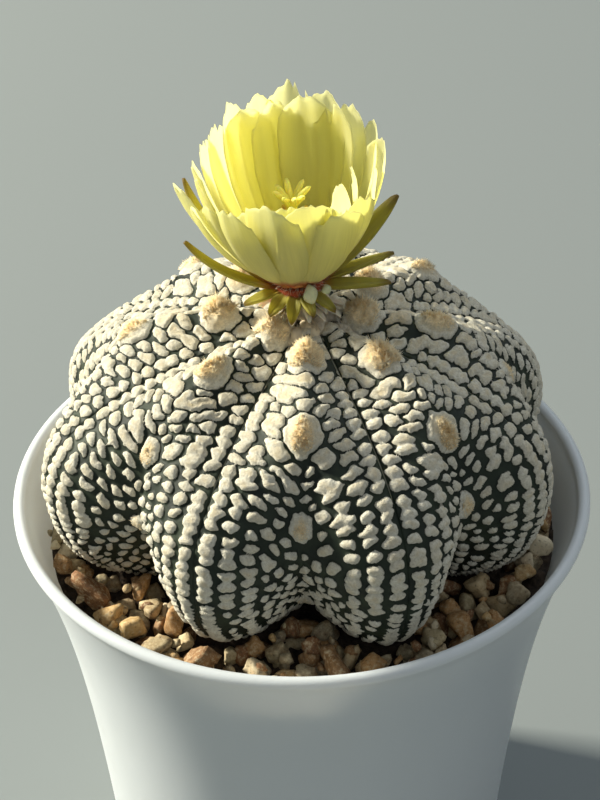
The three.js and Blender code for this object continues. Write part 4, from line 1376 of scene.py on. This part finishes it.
def flower_place(points):
    """From the flower's own frame to the part's, with its lean."""
    lean = Matrix.Rotation(LEAN_FORWARD, 3, "X") @ Matrix.Rotation(-LEAN_LEFT, 3, "Y")
    base = np.array(FLOWER_BASE) + [0, 0, POT_HEIGHT + REST_GAP]
    return points @ np.array(lean).T + base


def tube_place(points):
    return points + np.array(FLOWER_BASE) + [0, 0, POT_HEIGHT]


def blade_arc(length, start, end, along):
    """Tilts, reaches outwards and heights at shares of the way along an arc between two tilts."""
    fine = np.linspace(0, 1, ARC_STEPS)
    tilts = np.radians(start + (end - start) * fine)
    out, up = (
        length * np.interp(along, fine, np.concatenate([[0], np.cumsum(steps)[:-1]]) / ARC_STEPS)
        for steps in (np.sin(tilts), np.cos(tilts))
    )
    return np.radians(start + (end - start) * along), out, up


def blade_faces(rows, columns):
    """Quads of a blade's front, its back and its rim."""
    count = rows * columns
    front = grid_faces(rows, columns)
    back = front[:, ::-1] + count
    rim = np.concatenate([
        np.arange(columns), columns * np.arange(1, rows) + columns - 1,
        count - 2 - np.arange(columns - 1), columns * np.arange(rows - 2, 0, -1),
    ])
    after = np.roll(rim, -1)
    sides = np.stack([rim, after, after + count, rim + count], axis=1)
    return np.concatenate([front, back, sides])


def blade_part(azimuth, length, width, start, end, root, widths, thickness, rng,
               cup=0.2, teeth=0.0, waves=0.25, rounding=0.16, rows=30, columns=15):
    """A thin closed blade. It follows an arc between its two tilts, and has a toothed or smooth tip."""
    across = np.linspace(-1, 1, columns)[None, :]
    share = np.linspace(0, 1, rows)[:, None]
    jag = teeth * np.abs(noise(TEETH_WIDTH * across.T * [1, 0, 0], 1.0, new_seed(rng)))
    cut = jag[None, :] * smooth_step(share, TEETH_START, 1)
    along = share * (1 - rounding * np.abs(across) ** TIP_SQUARENESS - cut)
    tilts, out, up = blade_arc(length, start, end, along)
    half = width / 2 * np.interp(along, *zip(*widths))
    twist = rng.normal(0, BLADE_TWIST) * share
    phase = rng.uniform(0, TURN)
    wave = np.sin(BLADE_WAVES[0] * across + phase + BLADE_WAVES[1] * share)
    fold = cup * half * (2 * across ** 2 - 1)
    fold = fold + waves * wave * smooth_step(share, 0.1, 0.6)
    fold = fold + BLADE_RIPPLES[0] * np.cos(BLADE_RIPPLES[1] * across + phase)
    fold = fold + twist * half * across * 2
    thinned = np.sqrt(np.clip((TIP_THINNING[0] - share) / TIP_THINNING[1], 0, 1))
    edge = np.sqrt(np.maximum(1 - across ** EDGE_SQUARENESS, 0)) * thinned
    points = []
    for face in (0.5, -0.5):
        inward = fold + face * thickness * (EDGE_THICKNESS + (1 - EDGE_THICKNESS) * edge)
        points.append(np.stack([
            root[0] + out - np.cos(tilts) * inward, half * across, root[1] + up + np.sin(tilts) * inward,
        ], axis=-1).reshape(-1, 3))
    cos, sin = math.cos(math.radians(azimuth)), math.sin(math.radians(azimuth))
    turned = np.concatenate(points) @ np.array([[cos, sin, 0], [-sin, cos, 0], [0, 0, 1]])
    sideways = np.broadcast_to((across + 1) / 2, along.shape)
    marks = point_marks(along.size, along.ravel(), sideways.ravel(), rng.random(), 1)
    return turned, blade_faces(rows, columns), np.concatenate([marks, marks])


def make_petals(inner_material, outer_material):
    rng = np.random.default_rng(FLOWER_SEED)
    rings = (
        ("back_petals", BACK_PETALS, inner_material), ("side_petals", SIDE_PETALS, inner_material),
        ("front_petals", FRONT_PETALS, outer_material),
    )
    for (name, petals, material), root in zip(rings, PETAL_ROOTS):
        parts = [
            blade_part(
                *petal, (root, CUP_FLOOR - PETAL_SINK), PETAL_WIDTHS, PETAL_THICKNESS, rng,
                cup=rng.uniform(*PETAL_CUPS), teeth=rng.uniform(*PETAL_TEETH), rounding=PETAL_ROUNDING)
            for petal in petals
        ]
        make_piece(name, join_parts(parts, flower_place), material, "petals")


def make_bracts(material):
    rng = np.random.default_rng(FLOWER_SEED + 1)
    parts = [
        blade_part(
            *bract, BRACT_ROOT, BRACT_WIDTHS, BRACT_THICKNESS, rng,
            cup=0.22, waves=0.1, rounding=0.05, rows=24, columns=9)
        for bract in BRACTS
    ]
    make_piece("sepals", join_parts(parts, tube_place), material, "flower_tube")


def make_dry_scales(material):
    """Thin dry scales that hang from the flower tube into the wool."""
    rng = np.random.default_rng(BODY_SEED + 3)
    parts = []
    for index in range(DRY_SCALES):
        azimuth = 360 * (index + rng.uniform(-0.3, 0.3)) / DRY_SCALES
        height, *shape = (rng.uniform(*limits) for limits in SCALE_RANGES)
        parts.append(blade_part(
            azimuth, *shape, (SCALE_ROOT_RADIUS, height), BRACT_WIDTHS, SCALE_THICKNESS, rng,
            cup=0.15, waves=0.2, rounding=0.05, rows=14, columns=9))
    make_piece("dry_scales", join_parts(parts, tube_place), material, "flower_tube")


def closed_turn(section, roughness):
    """A closed, slightly uneven solid of revolution, with marks that say how high each point is."""
    points, faces = turned_faces(section + section[:1], TUBE_COLUMNS)
    points = points + unit(points * [1, 1, 0]) * layered_noise(points, roughness)[:, None]
    heights = points[:, 2]
    share = (heights - heights.min()) / np.ptp(heights)
    return points, faces, point_marks(len(points), share, share, share, 1)


def make_tube(material, cup_material):
    """The tube, whose foot leans to the middle of the body, and the floor of the cup over it."""
    points, faces, marks = closed_turn(TUBE_SECTION, TUBE_ROUGHNESS)
    foot = FLOWER_BASE[2] - CREST_OUTLINE[0][1]
    points[:, 0] += (BODY_CENTRE[0] - FLOWER_BASE[0]) * np.clip(-points[:, 2] / foot, 0, 1)
    shape = tube_place(points), [faces], marks
    weld(make_piece("flower_tube_skin", shape, material, "flower_tube"))
    cup = join_parts([closed_turn(CUP_SECTION, CUP_ROUGHNESS)], flower_place)
    weld(make_piece("flower_cup", cup, cup_material, "petals"))


def make_tube_hairs(material):
    """Short stiff hairs that stand out between the scales all round the flower tube."""
    rng = np.random.default_rng(FLOWER_SEED + 4)
    count = TUBE_HAIRS
    azimuths = rng.uniform(0, TURN, count)
    heights = rng.uniform(*TUBE_HAIR_HEIGHTS, count)
    outward = np.stack([np.cos(azimuths), np.sin(azimuths), np.zeros(count)], axis=1)
    roots = outward * (TUBE_HAIR_FOOT[0] + TUBE_HAIR_FOOT[1] * heights)[:, None]
    roots[:, 2] = heights
    directions = outward + rng.normal(0, TUBE_HAIR_SCATTER, (count, 3))
    lengths = rng.uniform(*TUBE_HAIR_LENGTHS, count)
    marks = point_marks(count, rng.random(count), rng.random(count), rng.uniform(0, 0.8, count), 1)
    parts = [hairs(tube_place(roots), directions, lengths, TUBE_HAIR_WIDTH, marks)]
    make_piece("tube_hairs", join_parts(parts), material, "flower_tube")


def make_buds(material):
    """Two pale, rounded knobs on the front right of the flower's foot."""
    ball, faces = sphere_mesh(4)
    uneven = ball * (1 + layered_noise(ball, BUD_ROUGHNESS))[:, None]
    marks = point_marks(len(ball), 0.8, 0.5, 0.5, 1)
    parts = []
    for azimuth, reach, height, radius, stretch in BUDS:
        angle = math.radians(azimuth)
        centre = np.array([reach * math.cos(angle), reach * math.sin(angle), height])
        parts.append((centre + uneven * radius * [1, 1, stretch], faces, marks))
    make_piece("buds", join_parts(parts, tube_place), material, "flower_tube")


def rod_part(path, radii, sides, tint):
    """A rounded rod along a path, closed at both ends."""
    path = np.array(path, float)
    tangents = unit(np.gradient(path, axis=0))
    side = unit(np.cross(tangents, [0.31, 0.87, 0.12]))
    other = np.cross(tangents, side)
    turns = ring_angles(sides)
    rings = path[:, None] + np.array(radii)[:, None, None] * (
        side[:, None] * np.cos(turns)[None, :, None] + other[:, None] * np.sin(turns)[None, :, None])
    along = np.repeat(np.linspace(0, 1, len(path)), sides)
    marks = point_marks(len(along), along, tint, tint, 1)
    return rings.reshape(-1, 3), grid_faces(len(path), sides, closed=True), marks


def make_pistil(material):
    rng = np.random.default_rng(FLOWER_SEED + 2)
    foot = np.array([0, 0, CUP_FLOOR + REST_GAP])
    top = np.array([STYLE_LEAN, 0, STYLE_HEIGHT])
    share = np.linspace(0, 1, ROD_POINTS)
    style = foot + (top - foot) * share[:, None]
    widths = STYLE_RADIUS + STYLE_WIDENING * share ** 3
    parts = [rod_part([*style, top + [0, 0, STYLE_CAP]], [ROD_END, *widths[1:], ROD_END], 16, 0.5)]
    for finger in range(STIGMA_FINGERS):
        scatter = rng.uniform(-STIGMA_TURN_SCATTER, STIGMA_TURN_SCATTER)
        angle = TURN * (finger + STIGMA_TURN + scatter) / STIGMA_FINGERS
        lean = math.radians(rng.uniform(*STIGMA_TILTS)) * (0.75 + 0.5 * share)
        reach = STIGMA_LENGTH * rng.uniform(*STIGMA_LENGTH_SCATTER) * share
        out = np.sin(lean) * reach
        path = top + np.stack([out * math.cos(angle), out * math.sin(angle), np.cos(lean) * reach], axis=1)
        radii = STIGMA_THICKNESS / 2 * np.sqrt(np.maximum(1 - share ** 8, 0.001)) * (1 - 0.12 * share)
        parts.append(rod_part(path, [ROD_END, *radii[1:]], 12, 0.5))
    make_piece("stigma", join_parts(parts, flower_place), material, "pistil")


def make_stamens(material):
    rng = np.random.default_rng(FLOWER_SEED + 3)
    share = np.linspace(0, 1, FILAMENT_POINTS)
    parts = []
    for index in range(FILAMENTS):
        angle = TURN * index * FILAMENT_TURN
        root, reach, height = (
            rng.uniform(*limits) for limits in (FILAMENT_ROOTS, FILAMENT_REACHES, FILAMENT_HEIGHTS))
        out = root + (reach - root) * share ** 1.4
        rise = CUP_FLOOR + REST_GAP + height * share
        path = np.stack([out * math.cos(angle), out * math.sin(angle), rise], axis=1)
        parts.append(rod_part(path, np.full(FILAMENT_POINTS, FILAMENT_RADIUS), 5, 0.3))
        head = path[-1] + np.linspace(*ANTHER_ENDS, len(ANTHER_RADII))[:, None] * [0, 0, 1]
        parts.append(rod_part(head, ANTHER_RADII, 8, 0.9))
    make_piece("anthers", join_parts(parts, flower_place), material, "stamens")


# Scene


def add_camera():
    camera = bpy.data.objects.new("camera", bpy.data.cameras.new("camera"))
    bpy.context.scene.collection.objects.link(camera)
    camera.data.lens = CAMERA_LENS
    camera.data.sensor_width = SENSOR_WIDTH
    camera.data.clip_start = 0.01
    camera.data.clip_end = 20
    turn = Matrix.Rotation(math.pi / 2 - CAMERA_PITCH, 4, "X") @ Matrix.Rotation(-CAMERA_ROLL, 4, "Z")
    spot = (np.array(CAMERA_OFFSET) + [0, 0, POT_HEIGHT]) * MM
    camera.matrix_world = Matrix.Translation(spot) @ turn
    bpy.context.scene.camera = camera


def look_along(direction):
    """The turn that points a lamp's -Z along a direction."""
    back = -np.array(direction)
    right = unit(np.cross([0, 0, 1], back))
    return Matrix(np.stack([right, np.cross(back, right), back], axis=1))


def add_lamp(name, direction, distance, size, power, colour):
    """A square lamp that looks at the plant from a direction."""
    lamp = bpy.data.lights.new(name, "AREA")
    lamp.size = size
    lamp.energy = power
    lamp.color = colour
    light = bpy.data.objects.new(name, lamp)
    bpy.context.scene.collection.objects.link(light)
    direction = unit(np.array(direction, float))
    spot = direction * distance + [0, 0, POT_HEIGHT * MM]
    light.matrix_world = Matrix.Translation(spot) @ look_along(-direction).to_4x4()


def add_light():
    for lamp in LAMPS:
        add_lamp(*lamp)
    world = bpy.data.worlds.new("studio")
    world.use_nodes = True
    background = world.node_tree.nodes["Background"]
    background.inputs["Color"].default_value = STUDIO_COLOUR
    background.inputs["Strength"].default_value = STUDIO_STRENGTH
    bpy.context.scene.world = world


def add_floor():
    half = FLOOR_SIZE * MM / 2
    corners = [(-half, -half, 0), (half, -half, 0), (half, half, 0), (-half, half, 0)]
    mesh = bpy.data.meshes.new("floor")
    mesh.from_pydata(corners, [], [(0, 1, 2, 3)])
    mesh.materials.append(floor_material())
    floor = bpy.data.objects.new("floor", mesh)
    bpy.context.scene.collection.objects.link(floor)


def build_body(wool):
    soil = soil_material()
    skin = skin_material()
    make_pot(plastic_material())
    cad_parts["soil"].data.materials.clear()
    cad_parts["soil"].data.materials.append(soil)
    grid = body_grid()
    make_ribs(grid, skin)
    make_root(skin)
    make_areoles(wool)
    make_crown_wool(wool)
    make_dry_scales(waxy_material("dry_scales", (0.52, 0.44, 0.30), (0.78, 0.72, 0.58), 0.8, 0.9))
    make_bed(soil)
    make_stones(grid, stone_material())


def build_flower(wool):
    inner_petals = leaf_material(
        "yellow_petals", root=(0.62, 0.14, 0.02), blade=(0.98, 0.96, 0.62), tip=(0.94, 0.90, 0.50),
        glow=(1.0, 0.99, 0.74), streak=(0.90, 0.87, 0.50), through=0.8, reach=0.26)
    outer_petals = leaf_material(
        "outer_petals", root=(0.60, 0.07, 0.02), blade=(0.94, 0.91, 0.44), tip=(0.92, 0.89, 0.48),
        glow=(0.96, 0.94, 0.52), streak=(0.68, 0.67, 0.30), through=0.6, reach=0.16)
    make_petals(inner_petals, outer_petals)
    make_bracts(leaf_material(
        "green_bracts", root=(0.42, 0.04, 0.02), blade=(0.54, 0.50, 0.09), tip=(0.12, 0.04, 0.02),
        glow=(0.80, 0.71, 0.13), streak=(0.27, 0.28, 0.045), through=0.5, reach=0.26))
    tube_skin = waxy_material(
        "tube_skin", (0.34, 0.29, 0.22), (0.52, 0.48, 0.38), 1.2, 0.8, end=(0.40, 0.07, 0.015))
    make_tube(tube_skin, waxy_material("cup_red", (0.26, 0.02, 0.015), (0.62, 0.30, 0.06), 1.5, 0.6))
    make_tube_hairs(wool)
    make_buds(waxy_material("bud_wax", (0.36, 0.38, 0.18), (0.66, 0.68, 0.42), 1.0, 0.35))
    make_pistil(waxy_material("stigma_wax", (1.0, 0.84, 0.10), (1.0, 0.93, 0.20), 0.4, 0.5))
    make_stamens(waxy_material("pollen_grains", (0.60, 0.35, 0.05), (0.88, 0.66, 0.14), 0.2, 0.9))


hair_wool = wool_material()
build_body(hair_wool)
build_flower(hair_wool)
add_floor()
add_light()
add_camera()
bpy.context.scene.view_settings.view_transform = "Standard"
